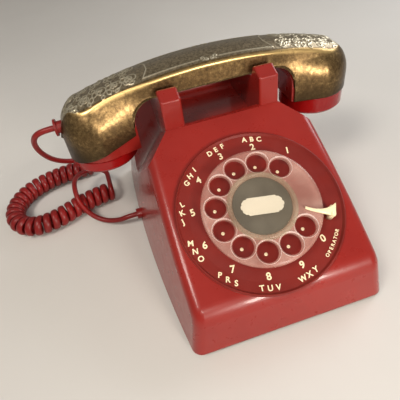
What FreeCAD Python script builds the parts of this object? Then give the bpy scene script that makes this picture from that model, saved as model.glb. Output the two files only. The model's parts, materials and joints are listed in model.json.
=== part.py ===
import FreeCAD, Part
import math
import os

V = FreeCAD.Vector

# Rotary desk telephone with a curly handset cord. Millimetres, +Z up, the front faces -Y.
# The origin is the bottom centre of the base, on the surface that the feet stand on.

# Housing
FRONT_Y = -103.0
REAR_Y = 103.0
HOUSING_BOTTOM = 3.0
TOP_Z = 92.6
REAR_TOP_Y = 76.25
FRONT_LEAN = 4.0
FRONT_ROLL = 15.0
REAR_ROLL = 8.0
WALL = 3.0
EDGE_ROUND = 7.0
HALF_WIDTH_FRONT = 64.5
HALF_WIDTH_MIDDLE = 73.0
HALF_WIDTH_REAR = 70.0
SIDE_DRAFT_DEG = 10.3
FIT = 0.3

# Cradle: two saddles with an ear at each end, a channel between them, a scoop outside each
CRADLE_Y = 43.0
CRADLE_FRONT_Y = 9.75
POCKET_GAP = 0.2
POCKET_WALL = 3.4
SADDLE_Z = 109.5
EAR_FRONT_Z = 113.0
EAR_TOP_Z = 117.0
EAR_TOP_Y = 20.0
EAR_INNER_Y = 25.0
EAR_EDGE = 1.6
CHANNEL_FLOOR = 80.0
CHANNEL_WALL = 3.2
CHANNEL_ROUND = 8.0
SCOOP_DEPTH = 76.3
SCOOP_TILT_DEG = 38.3
SCOOP_SLOPE = 0.4
SCOOP_ROUND = 34.0
GRIP_HALF_WIDTH = 35.0
GRIP_Z0 = 55.0
GRIP_Z1 = 77.0
GRIP_DEPTH_Y = 76.0
GRIP_ROUND = 7.0

# Base plate, feet and screws
PLATE_Z = 4.0
PLATE_THICK = 1.5
FOOT_RADIUS = 9.0
FOOT_PLACES = [(-46, -82), (46, -82), (-50, 78), (50, 78)]
BOSS_RADIUS = 5.0
BOSS_PLACES = [(-46, -64), (46, -64), (-44, 62), (44, 62)]
SCREW_RADIUS = 1.5
SCREW_HEAD = 3.2
SCREW_LENGTH = 11.0

# Dial, in its own frame: X to the right, Y up the slope, Z out of the face, zero on the wheel's top
DIAL_CENTRE = V(0, -56.5, 67.0)
DIAL_SLOPE_DEG = 28.0
FACE_W = -8.5
WHEEL_RADIUS = 37.9
WHEEL_THICK = 3.0
WHEEL_LIP = 4.6
HOLE_COUNT = 10
HOLE_CIRCLE = 28.7
HOLE_RADIUS = 6.6
HOLE_BEVEL = 0.9
HOLE_FIRST_DEG = 46.0
HOLE_STEP_DEG = 30.0
CARD_RADIUS = 18.5
CARD_RECESS = 1.6
CARD_THICK = 0.5
RETAINER_RADIUS = 22.0
RETAINER_RISE = 1.9
PLATE_RIM_RADIUS = 54.0
PLATE_RIM_WIDTH = 1.1
PLATE_RIM_TOP = -6.3
PLATE_DISH_W = -8.0
PLATE_DISH_THICK = 2.0
DIAL_HOLE_RADIUS = 51.0
STOP_ANGLE_DEG = -22.0
STOP_TIP = 25.6
STOP_FOOT_IN = 40.0
STOP_FOOT_OUT = 44.5
STOP_UNDER = 1.2
SHAFT_RADIUS = 3.0
SHAFT_END_W = -31.0
FRAME_RADIUS = 40.0
FRAME_W0 = -18.0
FRAME_W1 = -16.0
GEAR_W0 = -25.0
GEAR_W1 = -22.5
GEAR_MODULE = 0.8
MAIN_TEETH = 48
PINION_TEETH = 12
BRACKET_X = 37.0
BRACKET_THICK = 1.5

# Hookswitch
PLUNGER_X = 34.0
PLUNGER_RADIUS = 3.4
PLUNGER_TOP = 109.2
LEVER_TOP = 68.0
LEVER_THICK = 1.5
LEVER_PIVOT_Y = 66.0
LEVER_PIVOT_Z = 66.0
PIVOT_RADIUS = 1.5
UPRIGHT_X = 22.0

# Ringer
GONG_RADIUS = 14.0
GONG_SPACING = 36.0
GONG_Y = 2.0
GONG_Z = 20.0
GONG_HEIGHT = 12.0
GONG_WALL = 1.2
CLAPPER_PIVOT_Y = 26.0
CLAPPER_BALL = 2.2
VOLUME_X = 48.0
VOLUME_Y = 24.0
VOLUME_RADIUS = 10.0
VOLUME_WIDTH = 4.0
VOLUME_BOTTOM = 1.5

# Handset
HALF_LENGTH = 109.0
CUP_INSET = 25.0
WIRE_BORE_INSET = 16.0
CUP_RADIUS = 25.5
CROWN_Z = 127.5
CROWN_RADIUS = 330.0
END_ROUND = 24.0
END_ROUND_LIMIT = 0.9
HANDLE_HALF_WIDTH = 17.0
HANDLE_HALF_TOP = 16.0
VAULT_RADIUS = 36.0
VAULT_HALF = 27.0
VAULT_TURN_DEG = 25.0
NECK_X = 44.0
FLANK_FOOT = 40.0
FLANK_KNEE = 110.0
FLANK_TOP = 140.0
CUP_SHOULDER = 93.0
CUP_KNEE = 18.0
CUP_TIP = 3.0
COVER_LOWER_Z = 110.8
COVER_INNER_X = 60.0
COVER_SWEEP = 15.0
COVER_WALL = 1.2
COVER_GAP = 0.2
HANDLE_UNDER_Z = 109.8
TRANSMITTER_RIM = 75.0
RECEIVER_RIM = 80.0
CAP_BOTTOM = 66.0
CAP_RADIUS = 24.6
CAP_WALL = 2.2
NECK_RADIUS = 22.0
NECK_BORE = 19.6
NECK_DROP = 6.0
CUP_BORE_TOP = 100.0
INSERT_RADIUS = 19.2
CAP_HOLE = 1.5

# Cord
CORD_RADIUS = 2.0
COIL_RADIUS = 6.6
COIL_PITCH = 6.6
COIL_HEIGHT = 8.8
TAIL_LEAD = 10.0
HANDSET_TAIL_LEAD = 13.0
BUSH_RADIUS = 4.4
BASE_BUSH_Y = 28.2
BASE_BUSH_Z = 10.0
BASE_BUSH_X = -76.0
BASE_BUSH_LENGTH = 10.0
HANDSET_BUSH_Z = 97.0
HANDSET_BUSH_PROUD = 3.5
HANDSET_BUSH_ROOT = 4.5
INLET_X = 22.0
INLET_Z = 11.0
INLET_BORE = 2.8
INLET_RADIUS = 5.0
COLLAR = 1.6

COIL_ROUTE = [
    (-92.0, 68.5), (-108.0, 66.0), (-124.0, 60.0), (-140.0, 52.0), (-157.0, 48.5), (-171.0, 54.5),
    (-178.0, 68.0), (-176.5, 84.0), (-167.0, 98.0), (-151.0, 107.5), (-133.0, 112.0), (-116.0, 113.2),
    (-106.0, 113.2),
]
BASE_TAIL_ROUTE = [
    (-76.0, 28.2, 10.0), (-83.0, 28.2, 10.0), (-92.0, 31.0, 6.0), (-104.0, 37.5, 4.5), (-114.0, 44.5, 9.5),
    (-120.0, 52.5, 19.5), (-121.0, 63.5, 25.0), (-120.5, 75.5, 25.0), (-117.5, 86.0, 22.0),
    (-110.0, 93.5, 19.0), (-100.5, 94.5, 17.0), (-93.0, 89.0, 15.9),
]
HANDSET_TAIL_ROUTE = [
    (-112.5, 43.0, 97.0), (-121.5, 43.0, 97.0), (-129.0, 46.0, 92.5), (-133.0, 54.0, 81.0),
    (-132.5, 63.5, 66.5), (-128.5, 72.0, 53.5), (-120.5, 79.5, 43.5), (-109.5, 86.0, 37.0),
    (-98.0, 92.5, 32.5), (-87.5, 100.5, 28.5), (-79.0, 110.0, 25.5), (-74.5, 120.0, 23.0),
    (-73.6, 130.0, 20.8), (-76.5, 138.8, 19.0), (-84.0, 144.3, 17.6), (-93.2, 144.3, 16.6),
    (-100.7, 138.8, 15.8),
]

DIAL_FRAME = FreeCAD.Placement(DIAL_CENTRE, FreeCAD.Rotation(V(1, 0, 0), DIAL_SLOPE_DEG))
SLOPE = math.tan(math.radians(DIAL_SLOPE_DEG))
DRAFT = math.tan(math.radians(SIDE_DRAFT_DEG))
PLATE_TOP = PLATE_Z + PLATE_THICK
FACE_ORIGIN = DIAL_FRAME.multVec(V(0, 0, FACE_W))
GEAR_CENTRES = GEAR_MODULE * (MAIN_TEETH + PINION_TEETH) / 2
SADDLE_X0 = PLUNGER_X - PLUNGER_RADIUS - POCKET_GAP - POCKET_WALL
SADDLE_X1 = PLUNGER_X + PLUNGER_RADIUS + POCKET_GAP + POCKET_WALL
CUP_X = HALF_LENGTH - CUP_INSET
WIRE_BORE_X = CUP_X - WIRE_BORE_INSET
HANDSET_BUSH_X = -HALF_LENGTH - HANDSET_BUSH_PROUD


# Small shape helpers

def box(x0, x1, y0, y1, z0, z1):
    return Part.makeBox(x1 - x0, y1 - y0, z1 - z0, V(x0, y0, z0))


def rod(radius, start, end):
    axis = end - start
    return Part.makeCylinder(radius, axis.Length, start, axis)


def ring(outer, inner, start, end):
    return rod(outer, start, end).cut(rod(inner, start, end))


def join(shapes):
    return shapes[0].fuse(shapes[1:]).removeSplitter() if len(shapes) > 1 else shapes[0]


def rounded_wire(points, radii):
    edges = []
    count = len(points)
    starts = []
    ends = []
    for i in range(count):
        before = points[i - 1]
        here = points[i]
        after = points[(i + 1) % count]
        if radii[i] <= 0:
            starts.append(here)
            ends.append(here)
            continue
        back = (before - here).normalize()
        ahead = (after - here).normalize()
        half = back.getAngle(ahead) / 2
        reach = radii[i] / math.tan(half)
        middle = (back + ahead).normalize()
        near = radii[i] / math.sin(half) - radii[i]
        starts.append(here + back * reach)
        ends.append(here + ahead * reach)
        edges.append((i, Part.Arc(starts[i], here + middle * near, ends[i]).toShape()))
    arcs = dict(edges)
    path = []
    for i in range(count):
        if i in arcs:
            path.append(arcs[i])
        following = starts[(i + 1) % count]
        if (following - ends[i]).Length > 1e-6:
            path.append(Part.makeLine(ends[i], following))
    return Part.Wire(path)


def prism(points, radii, direction):
    return Part.Face(rounded_wire(points, radii)).extrude(direction)


def lathe(profile, centre=V(0, 0, 0), axis=V(0, 0, 1)):
    points = [V(r, 0, z) for r, z in profile]
    face = Part.Face(Part.makePolygon(points + points[:1]))
    solid = face.revolve(V(0, 0, 0), V(0, 0, 1), 360)
    solid.Placement = FreeCAD.Placement(centre, FreeCAD.Rotation(V(0, 0, 1), axis))
    return solid


def mirrored(shape):
    return shape.mirror(V(0, 0, 0), V(1, 0, 0))


def on_dial(shape):
    placed = shape.copy()
    placed.Placement = DIAL_FRAME.multiply(shape.Placement)
    return placed


# Housing

def offset_outline(points, offsets):
    moved = []
    count = len(points)
    for i in range(count):
        lines = []
        for k in (i - 1, i):
            a = points[k]
            b = points[(k + 1) % count]
            way = (b - a).normalize()
            inward = V(0, way.z, -way.y)
            lines.append((a + inward * offsets[k], way))
        (p, u), (q, w) = lines
        cross = u.y * w.z - u.z * w.y
        along = ((q.y - p.y) * w.z - (q.z - p.z) * w.y) / cross
        moved.append(p + u * along)
    return moved


def side_outline(inset):
    roll_z = FACE_ORIGIN.z + (FRONT_Y + FRONT_LEAN - FACE_ORIGIN.y) * SLOPE
    cradle_y = FACE_ORIGIN.y + (TOP_Z - FACE_ORIGIN.z) / SLOPE
    points = [
        V(0, FRONT_Y, HOUSING_BOTTOM), V(0, FRONT_Y + FRONT_LEAN, roll_z), V(0, cradle_y, TOP_Z),
        V(0, REAR_TOP_Y, TOP_Z), V(0, REAR_Y, HOUSING_BOTTOM),
    ]
    if inset == 0:
        return points, [0, FRONT_ROLL, 0, REAR_ROLL, 0]
    moved = offset_outline(points, [inset, inset, inset, inset, -2 * WALL])
    return moved, [0, FRONT_ROLL - inset, 0, REAR_ROLL - inset, 0]


def half_width(y):
    ys = (FRONT_Y, 0.0, REAR_Y)
    widths = (HALF_WIDTH_FRONT, HALF_WIDTH_MIDDLE, HALF_WIDTH_REAR)
    total = 0.0
    for i in range(3):
        term = widths[i]
        for k in range(3):
            if k != i:
                term *= (y - ys[k]) / (ys[i] - ys[k])
        total += term
    return total


def side_block(inset):
    wires = []
    for z in (-10.0, 130.0):
        narrow = (z - HOUSING_BOTTOM) * DRAFT + inset
        right = [V(half_width(y) - narrow, y, z) for y in (-120.0, 0.0, 120.0)]
        left = [V(-p.x, p.y, p.z) for p in right]
        wires.append(Part.Wire([
            Part.makeLine(left[0], right[0]), Part.Arc(right[0], right[1], right[2]).toShape(),
            Part.makeLine(right[2], left[2]), Part.Arc(left[2], left[1], left[0]).toShape(),
        ]))
    return Part.makeLoft(wires, True, True)


def body_block(inset):
    points, radii = side_outline(inset)
    wide = 2 * HALF_WIDTH_MIDDLE
    slab = prism([p - V(wide, 0, 0) for p in points], radii, V(2 * wide, 0, 0))
    return slab.common(side_block(inset))


def scoop(depth):
    tilt = math.radians(SCOOP_TILT_DEG)
    out = V(math.cos(tilt), 0, math.sin(tilt))
    along = V(math.sin(tilt), 0, -math.cos(tilt))
    reach = 103.0
    high = depth + SCOOP_SLOPE * reach
    flat = [(CRADLE_Y - reach, high), (CRADLE_Y, depth), (CRADLE_Y + reach, high),
            (CRADLE_Y + reach, 220.0), (CRADLE_Y - reach, 220.0)]
    points = [V(0, y, 0) + out * q - along * 150 for y, q in flat]
    cut = prism(points, [0, SCOOP_ROUND, 0, 0, 0], along * 300)
    return join([cut, mirrored(cut)])


def saddle_profile(inset, foot_z):
    near = CRADLE_FRONT_Y + inset
    points = [
        V(0, near, foot_z), V(0, near + 0.6, EAR_FRONT_Z - inset), V(0, EAR_TOP_Y, EAR_TOP_Z - inset),
        V(0, EAR_INNER_Y - 1.5, EAR_TOP_Z - 1.2 - inset), V(0, EAR_INNER_Y - inset, SADDLE_Z - inset),
    ]
    back = [V(0, 2 * CRADLE_Y - p.y, p.z) for p in reversed(points)]
    radii = [0, 1.5, 2.0, 2.0, 3.0]
    return points + back, radii + radii[::-1]


def saddle(inset, foot_z):
    points, radii = saddle_profile(inset, foot_z)
    start = SADDLE_X0 + inset
    wide = SADDLE_X1 - SADDLE_X0 - 2 * inset
    solid = prism([p + V(start, 0, 0) for p in points], radii, V(wide, 0, 0))
    if inset == 0:
        edges = []
        for edge in solid.Edges:
            flat = abs(edge.Vertexes[0].X - edge.Vertexes[-1].X) < 1e-6
            if flat and max(v.Z for v in edge.Vertexes) > foot_z + 1:
                edges.append(edge)
        solid = solid.makeFillet(EAR_EDGE, edges)
    return join([solid, mirrored(solid)])


def saddle_pocket(foot_z):
    inset = POCKET_WALL
    top = SADDLE_Z - inset
    y0 = CRADLE_FRONT_Y + inset
    right = box(SADDLE_X0 + inset, SADDLE_X1 - inset, y0, 2 * CRADLE_Y - y0, foot_z, top)
    return join([right, mirrored(right)])


def channel(grow):
    half = SADDLE_X0 + grow
    y0 = CRADLE_FRONT_Y + CHANNEL_WALL - grow
    y1 = 2 * CRADLE_Y - CRADLE_FRONT_Y - CHANNEL_WALL + grow
    points = [V(-half, y0, CHANNEL_FLOOR - grow), V(-half, y1, CHANNEL_FLOOR - grow),
              V(-half, y1, 200), V(-half, y0, 200)]
    return prism(points, [CHANNEL_ROUND, CHANNEL_ROUND, 0, 0], V(2 * half, 0, 0))


def grip_recess(grow):
    half = GRIP_HALF_WIDTH + grow
    points = [V(-half, GRIP_DEPTH_Y - grow, GRIP_Z0 - grow), V(half, GRIP_DEPTH_Y - grow, GRIP_Z0 - grow),
              V(half, GRIP_DEPTH_Y - grow, GRIP_Z1 + grow), V(-half, GRIP_DEPTH_Y - grow, GRIP_Z1 + grow)]
    return prism(points, [GRIP_ROUND] * 4, V(0, 60, 0))


def rounded_body():
    block = body_block(0)
    edges = []
    for edge in block.Edges:
        ends = edge.Vertexes
        outer = min(abs(v.X) for v in ends) > 30 and ends[0].X * ends[-1].X > 0
        low = max(v.Z for v in ends) < HOUSING_BOTTOM + 0.5
        if outer and not low:
            edges.append(edge)
    return block.makeFillet(EDGE_ROUND, edges)


def make_housing():
    saddle_foot = 60.0
    outside = rounded_body().cut(join([scoop(SCOOP_DEPTH), channel(0)]))
    outside = outside.fuse(saddle(0, saddle_foot).common(body_column()))
    outside = outside.cut(grip_recess(0))
    inside = body_block(WALL).cut(scoop(SCOOP_DEPTH - WALL)).cut(channel(WALL)).cut(grip_recess(WALL))
    inside = inside.fuse(saddle_pocket(saddle_foot))
    shell = outside.cut(inside)
    posts = []
    for x, y in BOSS_PLACES:
        posts.append(rod(BOSS_RADIUS, V(x, y, PLATE_TOP), V(x, y, 120)).common(outside))
    shell = shell.fuse(posts).removeSplitter()
    for x, y in BOSS_PLACES:
        shell = shell.cut(rod(SCREW_RADIUS, V(x, y, PLATE_TOP), V(x, y, PLATE_TOP + SCREW_LENGTH)))
    shell = shell.cut(on_dial(rod(DIAL_HOLE_RADIUS, V(0, 0, FACE_W - 20), V(0, 0, FACE_W + 5))))
    for side in (-1, 1):
        x = side * PLUNGER_X
        shell = shell.cut(rod(PLUNGER_RADIUS + FIT, V(x, CRADLE_Y, 95), V(x, CRADLE_Y, 120)))
    shell = shell.cut(rod(BUSH_RADIUS, V(-90, BASE_BUSH_Y, BASE_BUSH_Z), V(-60, BASE_BUSH_Y, BASE_BUSH_Z)))
    shell = shell.cut(rod(INLET_RADIUS, V(INLET_X, 85, INLET_Z), V(INLET_X, 115, INLET_Z)))
    return shell


def body_column():
    return box(-HALF_WIDTH_MIDDLE, HALF_WIDTH_MIDDLE, CRADLE_FRONT_Y - 1, 2 * CRADLE_Y, 60, 130)


# Base plate and what stands on it

def make_base_plate():
    gap = WALL + FIT
    plate = body_block(gap).common(box(-100, 100, -120, 120, PLATE_Z, PLATE_TOP))
    for x, y in BOSS_PLACES:
        plate = plate.cut(rod(SCREW_RADIUS, V(x, y, 0), V(x, y, 10)))
    side = VOLUME_WIDTH / 2 + 1.0
    slot = box(VOLUME_X - side, VOLUME_X + side, VOLUME_Y - VOLUME_RADIUS, VOLUME_Y + VOLUME_RADIUS, 0, 10)
    bush = rod(BUSH_RADIUS + COLLAR + FIT, V(-90, BASE_BUSH_Y, BASE_BUSH_Z), V(-64, BASE_BUSH_Y, BASE_BUSH_Z))
    inlet = rod(INLET_RADIUS + COLLAR + FIT, V(INLET_X, 86, INLET_Z), V(INLET_X, 120, INLET_Z))
    return plate.cut([slot, bush, inlet])


def make_feet():
    profile = [(0, PLATE_Z), (FOOT_RADIUS, PLATE_Z), (FOOT_RADIUS, 2.0), (FOOT_RADIUS - 1.5, 0), (0, 0)]
    return [lathe(profile, V(x, y, 0)) for x, y in FOOT_PLACES]


def make_housing_screws():
    screws = []
    for x, y in BOSS_PLACES:
        head = rod(SCREW_HEAD, V(x, y, PLATE_Z - 1.8), V(x, y, PLATE_Z))
        shank = rod(SCREW_RADIUS - 0.1, V(x, y, PLATE_Z - 1), V(x, y, PLATE_TOP + SCREW_LENGTH - 1))
        screws.append(join([head, shank]))
    return screws


NETWORK = (-27.0, 27.0, -92.0, -54.0)
NETWORK_TOP = PLATE_TOP + 14.0


def make_network_block():
    x0, x1, y0, y1 = NETWORK
    block = box(x0, x1, y0, y1, PLATE_TOP, NETWORK_TOP)
    upright = [e for e in block.Edges if abs(e.Vertexes[0].Z - e.Vertexes[1].Z) > 1]
    return block.makeFillet(3.0, upright)


def make_network_terminals():
    x0, x1, y0, y1 = NETWORK
    screws = []
    for y in (y0 + 5, y1 - 5):
        for i in range(6):
            x = x0 + 6 + i * (x1 - x0 - 12) / 5
            screws.append(rod(2.4, V(x, y, NETWORK_TOP), V(x, y, NETWORK_TOP + 2.0)))
    return screws


# Ringer

def gong_centre(side):
    return V(side * GONG_SPACING / 2, GONG_Y, GONG_Z)


def make_gong(side):
    r = GONG_RADIUS
    t = GONG_WALL
    h = GONG_HEIGHT
    profile = [(2, h), (r * 0.55, h), (r * 0.9, h * 0.72), (r, h * 0.3), (r, 0), (r - t, 0),
               (r - t, h * 0.28), (r * 0.9 - t, h * 0.66), (r * 0.5, h - t), (2, h - t)]
    return lathe(profile, gong_centre(side))


def make_gong_screws():
    screws = []
    for side in (-1, 1):
        c = gong_centre(side)
        top = c + V(0, 0, GONG_HEIGHT)
        screws.append(join([rod(1.9, c + V(0, 0, 4), top), rod(3.5, top, top + V(0, 0, 1.5))]))
    return screws


COIL_Y = 44.0
COIL_Z = 21.0
COIL_HALF = 15.0
COIL_ROUND = 8.0


def make_ringer_frame():
    half = GONG_SPACING / 2 + 8
    foot = box(-half, half, GONG_Y - 8, COIL_Y + 8, PLATE_TOP, PLATE_TOP + 1.5)
    parts = [foot]
    for side in (-1, 1):
        c = gong_centre(side)
        parts.append(rod(4.0, V(c.x, c.y, PLATE_TOP), V(c.x, c.y, GONG_Z + 4)))
        parts.append(rod(4.0, V(c.x, c.y, GONG_Z + 4), V(c.x, c.y, GONG_Z + GONG_HEIGHT - GONG_WALL)))
        x = side * (COIL_HALF + 1.5)
        parts.append(box(min(x, x + side * 2), max(x, x + side * 2), COIL_Y - 7, COIL_Y + 7, PLATE_TOP,
                         COIL_Z + COIL_ROUND))
    parts.append(rod(2.0, V(0, CLAPPER_PIVOT_Y, PLATE_TOP), V(0, CLAPPER_PIVOT_Y, 30)))
    fork = VOLUME_WIDTH / 2 + 0.4
    for x0 in (VOLUME_X - fork - 1.5, VOLUME_X + fork):
        parts.append(box(x0, x0 + 1.5, VOLUME_Y - 4, VOLUME_Y + 4, PLATE_TOP, volume_z() + 4))
    parts.append(box(half - 1, VOLUME_X + fork + 1.5, VOLUME_Y + 11, VOLUME_Y + 15, PLATE_TOP,
                     PLATE_TOP + 1.5))
    for x0 in (VOLUME_X - fork - 1.5, VOLUME_X + fork):
        parts.append(box(x0, x0 + 1.5, VOLUME_Y, VOLUME_Y + 15, PLATE_TOP, PLATE_TOP + 3))
    frame = join(parts)
    for side in (-1, 1):
        c = gong_centre(side)
        frame = frame.cut(rod(2.0, V(c.x, c.y, GONG_Z + 3), V(c.x, c.y, GONG_Z + 20)))
    pin = rod(1.6, V(VOLUME_X - 10, VOLUME_Y, volume_z()), V(VOLUME_X + 10, VOLUME_Y, volume_z()))
    return frame.cut(pin)


def make_ringer_coil():
    a = V(-COIL_HALF, COIL_Y, COIL_Z)
    b = V(COIL_HALF, COIL_Y, COIL_Z)
    flange = V(2, 0, 0)
    core = V(1.5, 0, 0)
    return join([rod(COIL_ROUND - 1, a, b), rod(COIL_ROUND, a, a + flange), rod(COIL_ROUND, b - flange, b),
                 rod(3, a - core, b + core)])


def make_clapper():
    z = GONG_Z + 3
    hub = ring(4.0, 2.0 + FIT / 2, V(0, CLAPPER_PIVOT_Y, z - 2), V(0, CLAPPER_PIVOT_Y, z + 2))
    arm = rod(0.8, V(0, CLAPPER_PIVOT_Y - 3.4, z), V(0, GONG_Y, z))
    ball = Part.makeSphere(CLAPPER_BALL, V(0, GONG_Y, z))
    plate = box(-9, 9, CLAPPER_PIVOT_Y + 3, CLAPPER_PIVOT_Y + 5, z - 2, z + 2)
    return join([hub, arm, ball, plate])


def volume_z():
    return VOLUME_BOTTOM + VOLUME_RADIUS


def make_volume_wheel():
    half = V(VOLUME_WIDTH / 2, 0, 0)
    c = V(VOLUME_X, VOLUME_Y, volume_z())
    wheel = rod(VOLUME_RADIUS, c - half, c + half)
    notches = []
    for i in range(24):
        angle = math.radians(15 * i)
        at = c + V(0, math.cos(angle), math.sin(angle)) * VOLUME_RADIUS
        notches.append(rod(0.6, at - half, at + half))
    pin = V(VOLUME_WIDTH / 2 + 2.0, 0, 0)
    return join([wheel.cut(notches), rod(1.5, c - pin, c + pin)])


# Dial

def gear(teeth, w0, w1, bore, phase_deg):
    pitch_radius = GEAR_MODULE * teeth / 2
    pitch = 2 * math.pi / teeth
    outline = []
    shape = [(-1.0, 0.27), (0.8, 0.10), (0.8, -0.10), (-1.0, -0.27)]
    for i in range(teeth):
        for rise, side in shape:
            angle = math.radians(phase_deg) + (i - side) * pitch
            r = pitch_radius + rise * GEAR_MODULE
            outline.append(V(r * math.cos(angle), r * math.sin(angle), w0))
    body = Part.Face(Part.makePolygon(outline + outline[:1])).extrude(V(0, 0, w1 - w0))
    return body.cut(rod(bore, V(0, 0, w0), V(0, 0, w1)))


def hole_centres():
    for i in range(HOLE_COUNT):
        angle = math.radians(HOLE_FIRST_DEG + HOLE_STEP_DEG * i)
        yield V(HOLE_CIRCLE * math.cos(angle), HOLE_CIRCLE * math.sin(angle), 0)


def make_finger_wheel():
    r = WHEEL_RADIUS
    t = WHEEL_THICK
    bore = SHAFT_RADIUS + 0.05
    profile = [(bore, -t), (r - 2.4, -t), (r - 1.8, -WHEEL_LIP), (r - 0.4, -WHEEL_LIP), (r, -WHEEL_LIP + 0.6),
               (r, -1.4), (r - 0.6, -0.5), (r - 1.8, 0), (CARD_RADIUS + 0.2, 0),
               (CARD_RADIUS + 0.2, -CARD_RECESS), (bore, -CARD_RECESS)]
    wheel = lathe(profile)
    cutters = []
    for c in hole_centres():
        cutters.append(rod(HOLE_RADIUS, c - V(0, 0, 10), c + V(0, 0, 10)))
        low = c - V(0, 0, HOLE_BEVEL)
        cutters.append(Part.makeCone(HOLE_RADIUS, HOLE_RADIUS + HOLE_BEVEL, HOLE_BEVEL, low))
    return wheel.cut(cutters)


def make_number_card():
    low = -CARD_THICK - FIT
    return rod(CARD_RADIUS, V(0, 0, low), V(0, 0, -FIT))


def make_card_retainer():
    r = RETAINER_RADIUS
    h = RETAINER_RISE
    return lathe([(0, h), (r - 4, h - 0.3), (r - 1.2, h - 0.9), (r, 0), (CARD_RADIUS + 0.6, 0),
                  (CARD_RADIUS - 0.5, h - 1.6), (0, h - 1.1)])


def make_wheel_screw():
    seat = -CARD_RECESS
    return join([rod(5.0, V(0, 0, seat), V(0, 0, seat + 0.6)), rod(1.2, V(0, 0, seat - 7), V(0, 0, seat))])


def make_dial_shaft():
    top = -CARD_RECESS
    shaft = rod(SHAFT_RADIUS, V(0, 0, SHAFT_END_W), V(0, 0, top))
    shoulder = rod(5.5, V(0, 0, -WHEEL_THICK - 1.6), V(0, 0, -WHEEL_THICK))
    shaft = join([shaft, shoulder])
    return shaft.cut(rod(1.25, V(0, 0, top - 7.5), V(0, 0, top)))


def make_number_plate():
    low = PLATE_DISH_W - PLATE_DISH_THICK
    inner = DIAL_HOLE_RADIUS - FIT
    return lathe([(6.2, low), (inner, low), (inner, FACE_W), (PLATE_RIM_RADIUS, FACE_W),
                  (PLATE_RIM_RADIUS, PLATE_RIM_TOP - 0.8), (PLATE_RIM_RADIUS - 0.8, PLATE_RIM_TOP),
                  (PLATE_RIM_RADIUS - PLATE_RIM_WIDTH, PLATE_RIM_TOP),
                  (PLATE_RIM_RADIUS - 2 * PLATE_RIM_WIDTH, PLATE_DISH_W + 0.5),
                  (STOP_FOOT_OUT + 1, PLATE_DISH_W), (6.2, PLATE_DISH_W)])


POST_PLACES = [(-30.0, 12.0), (30.0, 12.0), (-22.0, -24.0), (22.0, -24.0)]


def make_dial_frame():
    plate = rod(FRAME_RADIUS, V(0, 0, FRAME_W0), V(0, 0, FRAME_W1))
    low = PLATE_DISH_W - PLATE_DISH_THICK
    parts = [plate, rod(6.0, V(0, 0, FRAME_W0 - 2), V(0, 0, FRAME_W1 + 4))]
    for x, y in POST_PLACES:
        parts.append(rod(3.2, V(x, y, FRAME_W1), V(x, y, low)))
    frame = join(parts)
    cutters = [rod(SHAFT_RADIUS + 0.1, V(0, 0, -40), V(0, 0, 0)),
               rod(1.6, V(0, GEAR_CENTRES, -40), V(0, GEAR_CENTRES, 0))]
    for x, y in POST_PLACES:
        cutters.append(rod(1.3, V(x, y, FRAME_W0), V(x, y, low - 1.5)))
    return frame.cut(cutters)


def make_dial_screws():
    screws = []
    for x, y in POST_PLACES:
        head = rod(2.6, V(x, y, FRAME_W0 - 1.5), V(x, y, FRAME_W0))
        screws.append(join([head, rod(1.2, V(x, y, FRAME_W0), V(x, y, -12.5))]))
    return screws


def make_finger_stop():
    foot = PLATE_DISH_W
    u = STOP_UNDER
    points = [V(STOP_FOOT_IN, 0, foot), V(STOP_FOOT_IN, 0, u), V(STOP_FOOT_IN - 7, 0, u + 0.4),
              V(STOP_TIP, 0, u), V(STOP_TIP, 0, u + 1.0), V(STOP_FOOT_IN - 7, 0, u + 2.4),
              V(STOP_FOOT_OUT, 0, u + 2.2), V(STOP_FOOT_OUT, 0, foot)]
    side = prism([p - V(0, 8, 0) for p in points], [0, 0.8, 8, 0, 0, 8, 2.2, 0], V(0, 16, 0))
    plan = [V(STOP_TIP, -1.4, -20), V(STOP_FOOT_OUT, -4.6, -20), V(STOP_FOOT_OUT, 3.6, -20),
            V(STOP_TIP, 1.2, -20)]
    stop = side.common(prism(plan, [0, 3, 3, 0], V(0, 0, 40)))
    stop.rotate(V(0, 0, 0), V(0, 0, 1), STOP_ANGLE_DEG)
    return stop


CUP_OUT = 10.5
CUP_WALL = 1.0
CUP_W0 = -37.0
CUP_W1 = -27.5


def make_governor_cup():
    c = V(0, GEAR_CENTRES, 0)
    shell = rod(CUP_OUT, c + V(0, 0, CUP_W0), c + V(0, 0, CUP_W1))
    shell = shell.cut(rod(CUP_OUT - CUP_WALL, c + V(0, 0, CUP_W0 + 1.5), c + V(0, 0, CUP_W1)))
    shell = shell.cut(rod(1.6, c + V(0, 0, CUP_W0), c + V(0, 0, 0)))
    y = GEAR_CENTRES + CUP_OUT
    arm = box(-5, 5, y - 0.8, y + 1.2, CUP_W0, FRAME_W0)
    return join([shell, arm])


def make_governor_rotor():
    c = V(0, GEAR_CENTRES, 0)
    spindle = rod(1.4, c + V(0, 0, CUP_W0 + 0.3), c + V(0, 0, FRAME_W1 - 0.3))
    pinion = gear(PINION_TEETH, GEAR_W0 - 0.4, GEAR_W1 + 0.4, 1.3, -90 + 180 / PINION_TEETH)
    pinion.translate(c)
    disc = rod(4.5, c + V(0, 0, CUP_W1 - 4), c + V(0, 0, CUP_W1 - 2.5))
    return join([spindle, pinion, disc])


def make_governor_weights():
    c = V(0, GEAR_CENTRES, 0)
    arc = ring(7.6, 4.8, c + V(0, 0, CUP_W0 + 2.5), c + V(0, 0, CUP_W1 - 2.5))
    gap = box(-1.2, 1.2, GEAR_CENTRES - 10, GEAR_CENTRES + 10, CUP_W0, CUP_W1)
    return arc.cut(gap).Solids


def make_return_spring():
    turns = ring(6.6, SHAFT_RADIUS + 0.25, V(0, 0, SHAFT_END_W + 0.6), V(0, 0, GEAR_W0 - 0.5))
    return turns


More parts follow.
